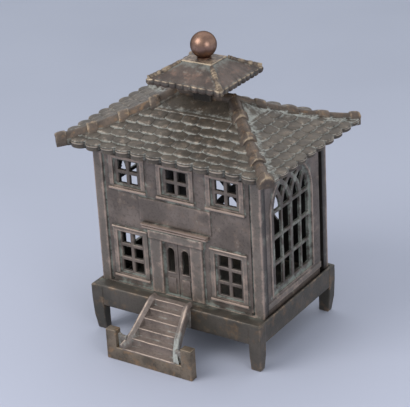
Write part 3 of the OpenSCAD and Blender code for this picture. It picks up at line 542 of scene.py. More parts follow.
house = {
    "half": 45.75, "front": 30.6, "foot": 22.1, "rim": 24.7, "top": 98.5, "wall": 3.0,
    "pilaster": 5.0, "corner": 4.5, "field": 0.7, "sideSink": 0.4, "sideLength": 50.3,
}
windows = {
    "upperAt": (-27.0, 0.0, 27.0), "upperHalf": 10.2, "upperFoot": 76.0, "upperTop": 91.95,
    "upperPane": (4.75, 4.95), "lowerAt": (-27.5, 27.5), "lowerHalf": 10.0, "lowerFoot": 29.6, "lowerTop": 54.2,
    "lowerPane": (5.1, 5.6), "bar": 1.75, "casing": 2.4, "casingOut": 0.6, "sash": -0.5,
    "sillOut": 1.3, "sill": 1.5, "headOut": 1.04, "head": 1.2, "edge": 0.3,
    "ledge": (0.4, 0.4), "paneFoot": 1.8, "sashFoot": 0.6, "sashTop": 1.44,
}
door = {
    "middle": -1.1, "half": 8.0, "post": 6.7, "postOut": 1.3, "top": 53.2, "leaf": -0.5, "light": 3.9,
    "lightFoot": 36.8, "lightTop": 49.5, "panelTop": 34.2, "frieze": (15.5, 58.2, 2.1), "hood": (18.4, 60.8, 2.8),
    "plaque": (20.0, 61.1, 73.3, 0.6), "panelHalf": 2.34, "panelOut": 0.45, "lightEdge": 0.7, "seam": 0.2,
    "hoodHeight": 2.6,
}


def paneGrid(middle, foot, cols, rows, size, bar):
    # equal panes with bars between them, centred on the middle and standing on the foot
    left = middle - (cols * size[0] + (cols - 1) * bar) / 2
    return [box(x, x + size[0], z, z + size[1])
            for x in [left + i * (size[0] + bar) for i in range(cols)]
            for z in [foot + j * (size[1] + bar) for j in range(rows)]]


def casedWindow(middle, half, foot, top, head):
    # casing, sill, sunk sash and, on some, a head moulding
    w = windows
    shapes = [(box(middle - half, middle + half, foot, top), w["casingOut"], w["edge"])]
    ledges = [(foot - w["sill"], foot, w["sillOut"])] + ([(top, top + w["head"], w["headOut"])] if head else [])
    over, round_ = w["ledge"]
    for low, high, out in ledges:
        shapes.append((box(middle - half - over, middle + half + over, low, high), out, round_))
    inner = half - w["casing"]
    shapes.append((box(middle - inner, middle + inner, foot + w["sashFoot"], top - w["sashTop"]), w["sash"], 0.25))
    return shapes


def cornerBlocks():
    # pilasters at both ends with the groove beside each, and the full-thickness foot in the tray
    h = house
    past, pilaster = 9, h["half"] - h["pilaster"]
    shapes = [(box(-h["half"] - past, h["half"] + past, h["foot"] - past, h["rim"]), h["field"], 0.25)]
    for s in (-1, 1):
        shapes.append((box(*span(s, pilaster - 1.0, pilaster), h["rim"], h["top"] + past), -0.5, 0.2))
        shapes.append((box(*span(s, pilaster, h["half"] + past), h["foot"] - past, h["top"] + past),
                       h["field"], 0.35))
        notch = s * (pilaster - 0.9)
        shapes.append((box(notch - 0.9, notch + 0.9, h["rim"] + 0.05, h["rim"] + 1.3), -1.7, 0.2))
    return shapes


def innerFace(x, z):
    # flat, and further in behind the pilasters
    h = house
    return np.where(np.abs(x) > h["half"] - h["pilaster"] + 0.01, h["field"] - h["corner"], h["field"] - h["wall"])


def frontPlan():
    # five windows, then the plaque, door frame, leaves with their panels and lights, frieze and hood
    w, d = windows, door
    shapes = cornerBlocks()
    holes = []
    for at in w["upperAt"]:
        shapes += casedWindow(at, w["upperHalf"], w["upperFoot"], w["upperTop"], False)
        holes += paneGrid(at, w["upperFoot"] + w["paneFoot"], 2, 2, w["upperPane"], w["bar"])
    for at in w["lowerAt"]:
        shapes += casedWindow(at, w["lowerHalf"], w["lowerFoot"], w["lowerTop"], True)
        holes += paneGrid(at, w["lowerFoot"] + w["paneFoot"], 2, 3, w["lowerPane"], w["bar"])
    m, rim = d["middle"], house["rim"]
    reach = d["half"] + d["post"]
    half, foot, top, out = d["plaque"]
    plaque = box(m - half, m + half, foot, top)
    shapes.append((plaque, out, 0.5))
    shapes.append((box(m - reach, m + reach, rim, d["top"] + 0.4), d["postOut"], 0.4))
    shapes.append((box(m - d["half"], m + d["half"], rim, d["top"]), d["leaf"], 0.25))
    for s in (-1, 1):
        c, light, edge = m + s * d["half"] / 2, d["light"] / 2, d["lightEdge"]
        panel = box(c - d["panelHalf"], c + d["panelHalf"], rim + 0.8, d["panelTop"])
        shapes.append((panel, d["leaf"] + d["panelOut"], 0.3))
        shapes.append((arch(c, light + edge, d["lightFoot"] - edge, d["lightTop"] - light), d["leaf"] + 0.3, 0.25))
        holes.append(arch(c, light, d["lightFoot"], d["lightTop"] - light))
    shapes.append((box(m - d["seam"], m + d["seam"], rim, d["top"]), d["leaf"] - 0.5, 0.15))
    half, top, out = d["frieze"]
    shapes.append((box(m - half, m + half, d["top"], top), out, 0.9))
    half, top, out = d["hood"]
    hoodFoot = top - d["hoodHeight"]
    shapes.append((box(m - half + 0.3, m + half - 0.3, hoodFoot, top - 1.3), out - 0.4, 0.3))
    shapes.append((box(m - half, m + half, top - 1.05, top), out, 0.25))

    def dampAndShade(x, z):
        # damp foot of the wall, painted shade under the eaves and a painted shadow under the hood; the hood's band is
        # painted lit, kept clear of grime, painted shade and green
        hood = 0.6 * fade(np.abs(z - d["frieze"][1] + 0.6), 1.8) * (np.abs(x - m) < d["frieze"][0] + 1)
        litHood = (z > hoodFoot) & (z < top + 1.5) & (np.abs(x - m) < half + 0.8)
        litHood = np.where(z > top - 0.2, 0.45, 0.8) * litHood
        return 0.35 * fade(z - rim, 5) + 0.35 * np.clip((z - 91) / 5, 0, 1) + hood - litHood

    def rubAndHighlight(x, z):
        # a painted highlight, mixed in as rubbed metal, along the upper edges of the hood's two ledges, and a fainter
        # one over its sloped face
        ledges = np.maximum(fade(np.abs(z - top + 0.45), 0.28), 0.6 * fade(np.abs(z - top + 1.65), 0.3))
        face = 0.3 * ((z > hoodFoot) & (z < top - 0.3))
        return np.maximum(ledges, face) * (np.abs(x - m) < half + 0.3)

    return {"features": shapes, "openings": holes, "x": (-house["half"], house["half"]), "rubAndHighlight": rubAndHighlight,
            "z": (house["foot"], house["top"]), "spacing": 1.3, "back": innerFace, "dampAndShade": dampAndShade, "bright": 0.5,
            "reveal": 0.5, "proud": 0.3, "even": lambda x, z: plaque.inside(x, z) > -0.2}


slot = {"half": 17.0, "foot": 78.4, "top": 83.0, "casingHalf": 19.4, "casingFoot": 76.2, "casingTop": 85.2}
lattice = {"half": 20.0, "foot": 44.9, "top": 64.6, "bar": 3.5, "at": 7.2, "rise": 1.05, "thick": 1.4}


def backPlan():
    # the lattice window is its opening less two pairs of crossed bars
    w, g = windows, lattice
    shapes = cornerBlocks() + casedWindow(0, g["half"] + w["casing"] + 0.6, g["foot"] - w["paneFoot"], g["top"] + 2.5,
                                          True)
    casing = box(-slot["casingHalf"], slot["casingHalf"], slot["casingFoot"], slot["casingTop"])
    shapes.append((casing, w["casingOut"], 0.45))
    middle, lean = (g["foot"] + g["top"]) / 2, math.hypot(1, g["rise"])
    bars = [Outline(lambda x, z, at=s * g["at"], rise=k * g["rise"]:
                    g["bar"] / 2 - np.abs(z - middle - rise * (x - at)) / lean) for s in (-1, 1) for k in (-1, 1)]
    opening = box(-g["half"], g["half"], g["foot"], g["top"])
    lights = without(opening, *bars)
    holes = [Outline(lights.inside, opening.xs, opening.zs),
             box(-slot["half"], slot["half"], slot["foot"], slot["top"])]

    def back(x, z):
        # the casting is thinner behind the window
        thin = house["field"] - 1.2 - g["thick"]
        return np.where(opening.inside(x, z) > -0.01, thin, innerFace(x, z))

    def dampAndShade(x, z):
        # damp foot of the wall and painted shade under the eaves
        return 0.35 * fade(z - house["rim"], 5) + 0.25 * np.clip((z - 92) / 5, 0, 1)

    return {"features": shapes, "openings": holes, "x": (-house["half"], house["half"]),
            "z": (house["foot"], house["top"]), "spacing": 0.6, "back": back, "dampAndShade": dampAndShade, "bright": 0.5,
            "reveal": 0.4, "proud": 0.3, "even": nowhere, "rubAndHighlight": nowhere}


sideWindow = {
    "middle": 25.1, "archMiddle": 23.75, "pane": 6.55, "narrow": 1.4, "wide": 2.3, "row": 13.1, "bar": 1.7,
    "foot": 34.1, "rows": 3, "spring": 73.4, "arc": 2.3, "archRadius": 18.6, "archLevel": 72.2, "sunk": -0.8,
    "leftFurther": 3.2, "bead": 1.2, "sillFoot": 26.9, "sillTop": 30.1, "fieldFoot": 31.3, "tracery": 1.4,
}


def sidePlan(further):
    # three rows of panes under crossed arcs in a round head; the left wall's window stands further
    # back than the right wall's
    w = {**sideWindow, "middle": sideWindow["middle"] + further, "archMiddle": sideWindow["archMiddle"] + further}
    half = w["wide"] / 2 + w["narrow"] + 2 * w["pane"]
    centre, spring = w["middle"], w["spring"] - w["bar"]
    columns = [s * (w["wide"] / 2 + w["pane"] / 2 + k * (w["pane"] + w["narrow"]))
               for s in (-1, 1) for k in (0, 1)]
    holes = [box(centre + c - w["pane"] / 2, centre + c + w["pane"] / 2, w["foot"] + j * w["row"],
                 w["foot"] + (j + 1) * w["row"] - w["bar"]) for c in columns for j in range(w["rows"])]
    mullion = w["wide"] / 2 + w["pane"] + w["narrow"] / 2
    middle = (w["wide"] - w["bar"]) / 2
    arcs = [hoop(centre + s * at, spring, half, w["arc"])
            for at in (mullion - half, mullion + half, middle + half) for s in (-1, 1)]
    head = common(Outline(lambda x, z: half - np.hypot(x - centre, z - spring)),
                  Outline(lambda x, z: z - spring - w["bar"]))
    filler = box(centre - middle, centre + middle, spring - 9, spring + 2.6 * w["bar"])
    lights = without(head, filler, *arcs)
    holes.append(Outline(lights.inside, (), (spring + w["bar"],)))
    a, r, level, foot = w["archMiddle"], w["archRadius"], w["archLevel"], w["fieldFoot"]
    shapes = [(box(-9, 99, house["foot"] - 9, w["sillFoot"]), -house["sideSink"], 0.2),
              (arch(a, r + w["bead"], foot, level), house["sideSink"], 0.35),
              (arch(a, r, foot, level), w["sunk"], 0.3),
              (box(-9, 99, w["sillFoot"], w["sillTop"]), house["sideSink"], 0.45)]

    def back(x, z):
        # the casting is thinner behind the window
        head = (z < spring) | (np.hypot(x - centre, z - spring) < half)
        inWindow = (np.abs(x - centre) < half) & (z > w["foot"]) & head
        return np.where(inWindow, w["sunk"] - w["tracery"], house["sideSink"] - house["wall"])

    def dampAndShade(x, z):
        # green runs in the window's field, most along its sill
        field = (np.abs(x - a) < r) & (z > foot) & (z < level + r)
        return np.where(field, 0.55, 0) + 0.5 * fade(np.abs(z - foot - 0.8), 2.2)

    return {"features": shapes, "openings": holes, "x": (0.0, house["sideLength"]),
            "z": (house["foot"], house["top"]), "spacing": 0.5, "back": back, "dampAndShade": dampAndShade, "bright": 0.85,
            "reveal": 1.0, "proud": 0.1, "even": nowhere, "rubAndHighlight": nowhere}


def frontPlace(x, out, z):
    # x, distance out and z on the front wall become x, y and z
    return np.stack([x, houseY - house["front"] + house["field"] - out, z], -1)


def backPlace(x, out, z):
    # the same on the back wall
    return np.stack([x, houseY + house["front"] - house["field"] + out, z], -1)


def sidePlace(side):
    # the left wall's (-1) or right wall's (1) distance along, distance out and z become x, y and z
    def place(along, out, z):
        start = houseY - house["front"] + house["corner"]
        return np.stack([side * (house["half"] - house["sideSink"] + out), start + along, z], -1)
    return place


castWall("frontWall", frontPlan(), frontPlace, ["front_wall"], 3)
castWall("backWall", backPlan(), backPlace, ["back_wall"], 13)
castWall("rightWall", sidePlan(0), sidePlace(1), ["right_wall"], 23)
castWall("leftWall", sidePlan(sideWindow["leftFurther"]), sidePlace(-1), ["left_wall"], 33)
print("stage 3: walls made")


# Main roof: each slope is one closed profile carried along its eave and cut at the hips
roof = {
    "halfWide": 59.25, "halfDeep": 41.8, "bed": 100.0, "rise": 0.42, "sag": 2.3, "run": 41.8, "thick": 2.6,
    "rows": 6, "rowDepth": 4.95, "step": 0.8, "frontTiles": 14, "sideTiles": 10, "frontFascia": 3.6,
    "sideFascia": 2.4, "lip": 2.6, "notch": 0.6, "eaveNotch": 2.5, "joint": 0.42, "crown": 0.25, "skew": -0.3,
}


def bedAt(s):
    # height of the tile beds s in from the eave: a straight rise less a sag, deepest half-way
    r = roof
    m = np.minimum(s, r["run"]) / r["run"]
    return r["bed"] + r["rise"] * s - 4 * r["sag"] * m * (1 - m)


def tileSlope(name, halfAcross, tiles, fascia, place, seed, chalk):
    # a closed profile carried along the eave: up the underside, round the eave and over rows of
    # tiles; each line's height is the bed's plus what its row of tiles adds there
    r = roof
    pitch = 2 * halfAcross / tiles
    marks = np.arange(2 * tiles + 1) * pitch / 2 - halfAcross
    close = (marks[:, None] + np.array([-.4, -.16, 0, .16, .4])).ravel()
    wide = (marks[:-1, None] + pitch / 2 * np.array([.22, .4, .6, .78])).ravel()
    across = np.unique(np.clip(np.concatenate([close, wide]), -halfAcross, halfAcross))

    def tilePlace(k):
        # tile number and place on the tile, -1 to 1, of each column in row k
        turn = (across + halfAcross) / pitch + 0.5 * (k % 2)
        number = np.floor(turn)
        return number, 2 * (turn - number) - 1

    def edgeAt(k):
        # distance in of row k's lower edge: row depths, plus a scallop on each tile, plus its skew
        if k >= r["rows"]:
            return np.full(across.shape, r["rows"] * r["rowDepth"]) + wobble(across, 0, seed + 5, 0.15, 12)
        number, c = tilePlace(k)
        notch, turn = (r["eaveNotch"], 2.7) if k == 0 else (r["notch"], 3.0)
        twist = r["skew"] + 0.25 * (chance(number, k, seed + 4) - 0.5)
        ragged = ((chance(number, k, seed) - 0.5) * 0.3 + twist * c) if k else 0
        return k * r["rowDepth"] + notch * np.abs(c) ** turn + ragged

    def topAt(k, s):
        # height of row k at s: bed, plus lift towards the lower edge, tilt and crown of each tile,
        # less the groove between tiles
        if k >= r["rows"]:
            return bedAt(s) + 0.3 * np.clip(1 - (s - r["rows"] * r["rowDepth"]) / 6, 0, 1)
        number, c = tilePlace(k)
        down = np.clip(1 - (s - k * r["rowDepth"]) / r["rowDepth"], 0, 1.2)
        lift = r["step"] * down * (1 + 0.3 * (chance(number, k, seed + 2) - 0.5))
        tilt = (chance(number, k, seed + 3) - 0.5) * 0.25 * c
        away = (1 - np.abs(c)) * pitch / 2
        groove = r["joint"] * bell(away, 0.26) * (0.25 + 0.75 * down ** 3)
        return bedAt(s) + lift + tilt + r["crown"] * (1 - c * c) - groove

    def jointAt(k):
        # share of joint in row k: a bell about the sides of each tile
        if k >= r["rows"]:
            return np.zeros(across.shape)
        away = (1 - np.abs(tilePlace(k)[1])) * pitch / 2
        return 0.7 * bell(away, 0.4)

    lines = []                       # each line: distance in, height, worn, hollow, soot

    def line(s, z, worn=0.0, hollow=0.0, soot=0.0):
        # one more line of the profile, its values spread over all columns
        shape = across.shape
        lines.append([np.broadcast_to(v, shape).astype(float) for v in (s, z, worn, hollow, soot)])

    low = r["bed"] + r["step"] - fascia
    edge = edgeAt(0)
    gap = bell((1 - np.abs(tilePlace(0)[1])) * pitch / 2, 0.8)
    for s in (41.8, 36.0, 30.0, 24.0, 18.0, 12.0, 7.0, 4.0, r["lip"]):
        line(s, bedAt(s) - r["thick"], 0, 0.4)
    line(r["lip"], low + 0.3, 0, 0.3)
    line(r["lip"] - 0.25, low, 0.2, 0.1)
    # painted shade from here to the mouldings' last column: under the eave's foot, in the gaps between eave tiles and
    # on the fascia below the lip
    line(edge + 0.45, low, 0.2, 0.1, 0.2)
    line(edge + 0.05, low + 0.3, 0.3 - gap, 0.1 + gap * 0.5, 0.1 + gap * 0.3)
    top = topAt(0, edge)
    mouldings = (                    # share of the fascia's height, distance in, worn, soot
        (0.35, 0, 0, 0.2), (0.52, 0.05, 0, 0.35), (0.6, -0.2, 0.9, 0), (0.7, -0.2, 1.0, 0), (0.78, 0.2, 0, 0.4))
    for share, out, worn, dark in mouldings:
        line(edge + out, low + (top - low) * share, worn - gap, gap * 0.9, dark + gap * 0.2)
    for k in range(r["rows"] + 1):
        edge, after = edgeAt(k), edgeAt(k + 1) if k < r["rows"] else np.full(across.shape, r["run"])
        joint = jointAt(k)
        lift = 0.45 if k < r["rows"] else 0.15
        if k > 0:
            line(edge, topAt(k - 1, edge), 0, 0.8)
        line(edge + 0.02, topAt(k, edge) - lift, 0.4, 0.8)
        line(edge + 0.12, topAt(k, edge) - lift * 0.3, 0.5 - joint, 0.4 + joint)
        line(edge + 0.42, topAt(k, edge + 0.42), 0.3 - joint * 0.5, joint)
        shares = (0.3, 0.62) if k < r["rows"] else (0.12, 0.3, 0.5, 0.75)
        own = 0.3 * chance(tilePlace(k)[0], k, seed + 7) if k < r["rows"] else 0.1
        for share in shares:
            s = edge + (after - edge) * share
            film = 0.0 if k < r["rows"] else 0.75 * max(0, 1 - share / 0.35)
            line(s, topAt(k, s), own * (1 - joint), joint * 0.5 + 0.25 - own + film)
        if k < r["rows"]:
            # painted shade on each row just below the lip of the row over it
            line(after - 0.9, topAt(k, after - 0.9), 0.0, 0.05 + joint * 0.6, 0.12)
            line(after - 0.35, topAt(k, after - 0.35), 0.0, 0.25 + joint * 0.6, 0.1)
    line(r["run"], bedAt(r["run"]), 0, 0.1)
    table = np.array(lines)          # lines x 5 values x columns
    s, z = table[:, 0], table[:, 1]
    limit = halfAcross - s
    a = np.clip(np.broadcast_to(across, s.shape), -limit, limit)
    z = z + wobble(a, s, seed + 9, 0.12, 14) * np.clip(s / 2, 0, 1)
    points = place(a, s, z)
    n, m = s.shape
    faces = cells(n, m, wrapRows=True).tolist()
    faces.append([i * m for i in range(n)])
    faces.append([i * m + m - 1 for i in range(n - 1, -1, -1)])
    # green gathers beside the hips and on the whole of some slopes
    streaks = np.clip(0.62 + wobble(a, s, seed + 11, 0.5, 2.2), 0.12, 1)
    beside = fade(limit - np.abs(a) - 4.0, 4.5) * 0.85 * streaks * (s < 41)
    hollow = table[:, 3] + beside + chalk
    worn = table[:, 2] * (1 - 0.6 * beside)
    return piece(name, points.reshape(-1, 3), faces, skins["roof"], worn.ravel(), hollow.ravel(),
                 table[:, 4].ravel(), sharp=42)


wide, deep = roof["halfWide"], roof["halfDeep"]
fronts, sides = (wide, roof["frontTiles"], roof["frontFascia"]), (deep, roof["sideTiles"], roof["sideFascia"])
frontSlope = tileSlope("roofSlopeFront", *fronts, lambda a, s, z: np.stack([a, houseY - deep + s, z], -1), 41, 0.05)
tileSlope("roofSlopeBack", *fronts, lambda a, s, z: np.stack([-a, houseY + deep - s, z], -1), 51, 0.1)
tileSlope("roofSlopeRight", *sides, lambda a, s, z: np.stack([wide - s, houseY + a, z], -1), 61, 0.03)
tileSlope("roofSlopeLeft", *sides, lambda a, s, z: np.stack([s - wide, houseY - a, z], -1), 71, 0.1)
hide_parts("main_roof")

hips = {"shift": 2.8, "out": 0.9, "tiles": 4, "half": (3.3, 2.9), "crest": (2.5, 2.3), "wing": 0.35, "collar": 0.7,
        "tilt": 0.2, "under": 2.2, "foot": 97.8, "reach": 59.4}


def hipRoll(name, sx, sy, seed):
    # a section of a roll between two flat wings, carried up the hip: it narrows along each tile
    # and stands higher over the collar at each tile's lower end
    h = hips
    length = (roof["run"] + h["out"]) / h["tiles"]
    inTile = np.array([0.0, 0.008, 0.03, 0.1, 0.2, 0.29, 0.32, 0.34, 0.36, 0.5, 0.75, 1.0])
    swell = np.array([0.6, 0.9, 1.05, 1.2, 1.25, 1.05, 0.75, 0.2, 0.0, 0.0, 0.0, 0.0])
    bright = np.array([0.6, 1.0, 0.8, 0.35, 0.3, 0.5, 0.8, 0.3, 0.0, 0.05, 0.05, 0.0])
    dull = np.array([0, 0, 0, 0, 0, 0, 0, 0.3, 0.4, 0.1, 0.1, 0.5])
    k = np.repeat(np.arange(h["tiles"]), len(inTile))
    t = np.tile(inTile, h["tiles"])
    d = -h["out"] + (k + t) * length
    raised = np.tile(swell, h["tiles"]) * h["collar"] * (1 + 0.4 * (chance(k, 1, seed) - 0.5))
    half = h["half"][0] + (h["half"][1] - h["half"][0]) * t + raised * 0.7
    crest = h["crest"][0] + (h["crest"][1] - h["crest"][0]) * t + raised
    wing = h["wing"] + raised * 0.4
    bed = bedAt(np.maximum(d, 0)) + roof["rise"] * np.minimum(d, 0)
    x = np.array([0, .16, .32, .48, .64, .76, .84, .9, .97, 1, 1])
    x = np.concatenate([-x[:0:-1], x])
    roll = np.clip(1 - np.abs(x / 0.9) ** 2.2, 0, 1) ** 0.7
    level = np.maximum(crest[:, None] * roll, wing[:, None] * np.where(np.abs(x) == 1, 0.8, 1))
    z = bed[:, None] + level + h["tilt"] * x * half[:, None]
    z[:, [0, -1]] = np.where(d > 2.5, bed - h["under"], h["foot"])[:, None]
    side = np.array([sx, -sy]) / math.sqrt(2)
    plan = np.stack([sx * (roof["halfWide"] - h["shift"] - d), houseY + sy * (roof["halfDeep"] - d)], -1)
    rings = np.zeros((len(d), len(x), 3))
    rings[..., :2] = plan[:, None] + (half[:, None] * x)[..., None] * side
    rings[..., 2] = z
    rings += wobble(d[:, None], x[None] * 9, seed, 0.22, 6)[..., None] * np.array([side[0], side[1], 0.8])
    rings[..., 0] = np.clip(rings[..., 0], -h["reach"], h["reach"])
    # rubbed most about the collars and on top of the roll, with a painted highlight line along the crest
    share = np.tile(bright, h["tiles"])[:, None] * (0.15 + 0.85 * roll) + 0.4 * (np.abs(x) < 0.1)
    valley = 0.6 * (np.abs(x) > 0.8)
    return tube(name, rings, skins["hip"], share, np.tile(dull, h["tiles"])[:, None] + valley, sharp=40)


for label, sx, sy in corners:
    hipRoll("hip" + label, sx, sy, 80 + 3 * sx + sy)

ridge = {"half": 16.5, "level": 117.0, "radius": 2.7}


def ridgeRoll():
    # a round roll between two points, its ends drawn in over quarter-rounds
    radius = ridge["radius"]
    start, end = (np.array([side * ridge["half"], houseY, ridge["level"]]) for side in (-1, 1))
    reach = np.linalg.norm(end - start)
    along = (end - start) / reach
    ends = radius * 0.5 * (1 - np.sin(np.linspace(0.12, math.pi / 2, 5)))
    t = np.concatenate([ends, np.linspace(radius * 0.5, reach - radius * 0.5, 12), reach - ends])
    t = np.sort(np.clip(t, 0, reach))
    fromEnd = np.minimum(t, reach - t) / (radius * 0.5)
    size = radius * np.sqrt(np.clip(1 - (1 - np.clip(fromEnd, 0.02, 1)) ** 2, 0, 1))
    rings = start + t[:, None, None] * along + size[:, None, None] * squareTo(along, 32)[None]
    return tube("ridgeRoll", rings, skins["hip"], 0.3, 0.2, sharp=50)


ridgeRoll()
print("stage 4: main roof made")


# Under the main roof: the ring that rests on the walls, four ribs, and the neck

seat = {"outer": (45.75, 30.6), "inner": (41.25, 26.1), "foot": 98.5, "top": 101.6, "soft": 0.3}
rib = {"x": 37.75, "y": (25.7, 27.3), "sideX": (40.85, 42.45), "sideY": 23.1,
       "inRoof": (96.3, 101.5, 102.5), "inTray": (21.9, 24.3, 24.3)}
neck = {"half": (5, 4), "foot": 115.0, "top": 132.1}


def seatRing():
    # rectangles stepped round a square section and closed on themselves
    s = seat
    e = s["soft"]
    steps = [(0, s["foot"], e), (0, s["foot"] + e, 0), (0, s["top"], 0), (1, s["top"], 0), (1, s["foot"] + e, 0),
             (1, s["foot"], -e)]
    rings = []
    for share, level, inset in steps:
        half = [o + (i - o) * share - inset for o, i in zip(s["outer"], s["inner"])]
        rings.append(laid(roundRect(half[0], half[1], 0.5, side=6)[0], level))
    return tube("roofSeat", rings, skins["roof"], 0.1, 0.4, loop=True)


def ribs(name, foot, top, sideTop, skin, hollow):
    # four low ribs just inside the walls: front and back along x, left and right along y
    for s in (-1, 1):
        y = [houseY + v for v in span(s, *rib["y"])]
        block(name + ("Front" if s < 0 else "Back"), (-rib["x"], rib["x"]), y, (foot, top), skin, 0.3, hollow)
        y = (houseY - rib["sideY"], houseY + rib["sideY"])
        block(name + ("Left" if s < 0 else "Right"), span(s, *rib["sideX"]), y, (foot, sideTop), skin, 0.3, hollow)


seatRing()
ribs("roofRib", *rib["inRoof"], skins["roof"], 0.4)
halfX, halfY = neck["half"]
# the neck is painted in shade under the small roof
block("roofNeck", (-halfX, halfX), (houseY - halfY, houseY + halfY), (neck["foot"], neck["top"]), skins["roof"],
      0.5, soot=0.75)


# Small roof

cupola = {
    "half": (20.5, 19.1), "bed": 127.756, "rise": 6.6, "run": 12.4, "fascia": 2.8, "scallops": 10, "bead": 0.95,
    "plate": 135.156, "slope": 11.9, "inner": 132.3, "hole": 2.0, "perSide": 108,
}


def cupolaShell():
    # rings of the small roof, from the rod's hole over the plate and the slopes to the eaves, and
    # back up inside; near the eaves each ring goes in and out with the scallops
    c = cupola
    plate, bed = c["plate"], c["bed"]
    eaveTop = bed + 0.3
    foot = eaveTop - c["fascia"]
    profile = [                      # inset from the eave, height, scallop share, worn, hollow
        (17.0, plate - 0.02, 0, 0.5, -0.3), (14.6, plate, 0, 0.45, -0.3), (13.2, plate, 0, 0.5, -0.3),
        (12.75, plate - 0.02, 0, 0.7, 0), (12.5, plate - 0.1, 0, 1, 0), (12.36, plate - 0.3, 0, 1, 0),
        (12.3, plate - 0.55, 0, 0.4, 0.4), (12.2, plate - 0.8, 0, 0, 1.0)]
    for t in np.linspace(0, 1, 9)[:-1]:
        inset = c["slope"] - t * c["slope"]
        level = eaveTop + c["rise"] * inset / c["run"] - 0.45 * math.sin(math.pi * t)
        profile.append((inset, level, t ** 3 * 0.5, 0.0, 0.85 * (1 - t) ** 3 + 0.4 * t ** 4))
    profile += [
        (0.9, eaveTop + 0.2, 0.6, 0.0, 0.6), (0.55, eaveTop + 0.25, 0.9, 0.3, 0.3),
        (0.25, eaveTop + 0.05, 1, 0.95, 0.0), (0.08, eaveTop - 0.4, 1, 0.5, 0.2),
        (0.15, eaveTop - 1.0, 1, 0.1, 0.6), (0.05, (eaveTop + foot) / 2, 1, 0.1, 0.4),
        (0.05, foot + 0.7, 1, 0.2, 0.3), (0.2, foot + 0.25, 1, 0.4, 0.1), (0.5, foot, 0.9, 0.3, 0.1),
        (1.8, foot, 0, 0, 0.3), (2.0, foot + 0.4, 0, 0, 0.5), (2.1, bed - 0.2, 0, 0, 0.5),
        (7.0, bed + 2.3, 0, 0, 0.5), (11.2, 131.3, 0, 0, 0.5), (14.0, 131.9, 0, 0, 0.5),
        (17.0, c["inner"], 0, 0, 0.4)]
    rings, worn, hollow, soot = [], [], [], []
    u = np.linspace(-1, 1, c["perSide"], endpoint=False)
    wave = np.abs(np.sin(np.pi * c["scallops"] * (u + 1) / 2))
    for inset, level, scallop, w, h in profile:
        halfX, halfY = c["half"][0] - inset, c["half"][1] - inset
        sides, notch = [], []
        for k in range(4):
            reach, across = (halfX, halfY) if k % 2 == 0 else (halfY, halfX)
            own = 0.45 + 0.75 * chance(np.floor(c["scallops"] * (u + 1) / 2), k, 5)
            out = reach - c["bead"] * scallop * own * (1 - wave ** 0.6)
            turn = k * math.pi / 2
            spin = np.array([[math.cos(turn), math.sin(turn)], [-math.sin(turn), math.cos(turn)]])
            sides.append(np.stack([out, u * across], -1) @ spin)
            notch.append((1 - wave) ** 2 * scallop * np.minimum(own * 1.2, 1))
        flat, notch = np.concatenate(sides), np.concatenate(notch)
        z = level + wobble(flat[:, 0], flat[:, 1], 7, 0.16, 7) * (1 if 0 < inset < 12 else 0.3)
        z = z + notch * (0.6 if level < eaveTop - 1.2 else -0.3)
        corner = np.abs(np.abs(flat[:, 0]) - halfX) + np.abs(np.abs(flat[:, 1]) - halfY)
        corner = fade(corner - 1.5, 2)
        golden = corner * (inset < 1.5) * 0.6
        rings.append(laid(flat, z))
        worn.append((w + golden) * (1 - notch * 0.8))
        hollow.append(h + 0.55 * corner * (1 < inset < 12) + notch * 0.4 - golden)
        # painted shade in the notches between scallops and on the fascia under the eave
        soot.append(notch * 0.55 + 0.3 * (inset < 0.3 and foot + 0.5 < level < eaveTop - 0.6))
    around = 4 * c["perSide"]
    turns = np.linspace(-math.pi / 4, math.pi * 7 / 4, around, endpoint=False)
    hole = c["hole"] * np.stack([np.cos(turns), np.sin(turns)], -1)
    for at, level in ((0, plate - 0.02), (len(rings) + 1, c["inner"])):
        rings.insert(at, laid(hole, level))
        for rows, value in ((worn, 0.0), (hollow, 0.4), (soot, 0.0)):
            rows.insert(at, np.full(around, value))
    return tube("cupolaRoof", rings, skins["smallRoof"], np.array(worn), np.array(hollow), loop=True,
                stands=["cupola_roof"], sharp=45, soot=np.concatenate(soot))


cupolaShell()


def cupolaHip(name, sx, sy, seed):
    # a thin roll with beads down each corner of the small roof
    c = cupola
    t = np.linspace(0, 1, 64)
    high = c["bed"] + 0.3 + c["rise"] * 12.2 / c["run"] - 0.1
    start = np.array([sx * (c["half"][0] - 12.2), houseY + sy * (c["half"][1] - 12.2), high])
    end = np.array([sx * (c["half"][0] - 0.9), houseY + sy * (c["half"][1] - 0.9), c["bed"] + 0.45])
    centre = start + (end - start) * t[:, None]
    centre[:, 2] -= 0.35 * np.sin(np.pi * t)
    along = (end - start) / np.linalg.norm(end - start)
    beads = np.abs(np.sin(np.pi * (6 * t + 0.55 * np.sin(9 * t + seed)))) ** 0.7
    beads = beads * (0.35 + 0.65 * np.sin(5 * t + seed) ** 2)
    radius = 0.85 + 0.42 * beads + 0.25 * t
    ends = np.clip(np.minimum(t, 1 - t) / 0.03, 0.05, 1)
    radius = radius * np.sqrt(1 - (1 - ends) ** 2 * 0.98)
    rings = centre[:, None] + radius[:, None, None] * squareTo(along, 20)[None]
    worn = 0.2 + 0.85 * beads + 0.35 * t ** 3
    return tube(name, rings, skins["smallHip"], worn[:, None], (1 - beads)[:, None] * 0.6 + 0.1)


for label, sx, sy in corners:
    cupolaHip("cupolaHip" + label, sx, sy, 90 + 2 * sx + sy)
print("stage 5: small roof made")


# Tray and legs

tray = {
    "half": 47.5, "front": -29.7, "back": 41.2, "top": 24.7, "skirtFoot": 13.7, "skirt": 2.4,
    "seatHalf": (46.05, 30.9), "floor": 22.1, "under": 19.7, "boss": 7.94, "bossFoot": 17.5, "hole": 2.0, "soft": 0.5,
    "leg": (6.3, 5.0), "legDraw": 1.4, "legProud": 0.35,
}


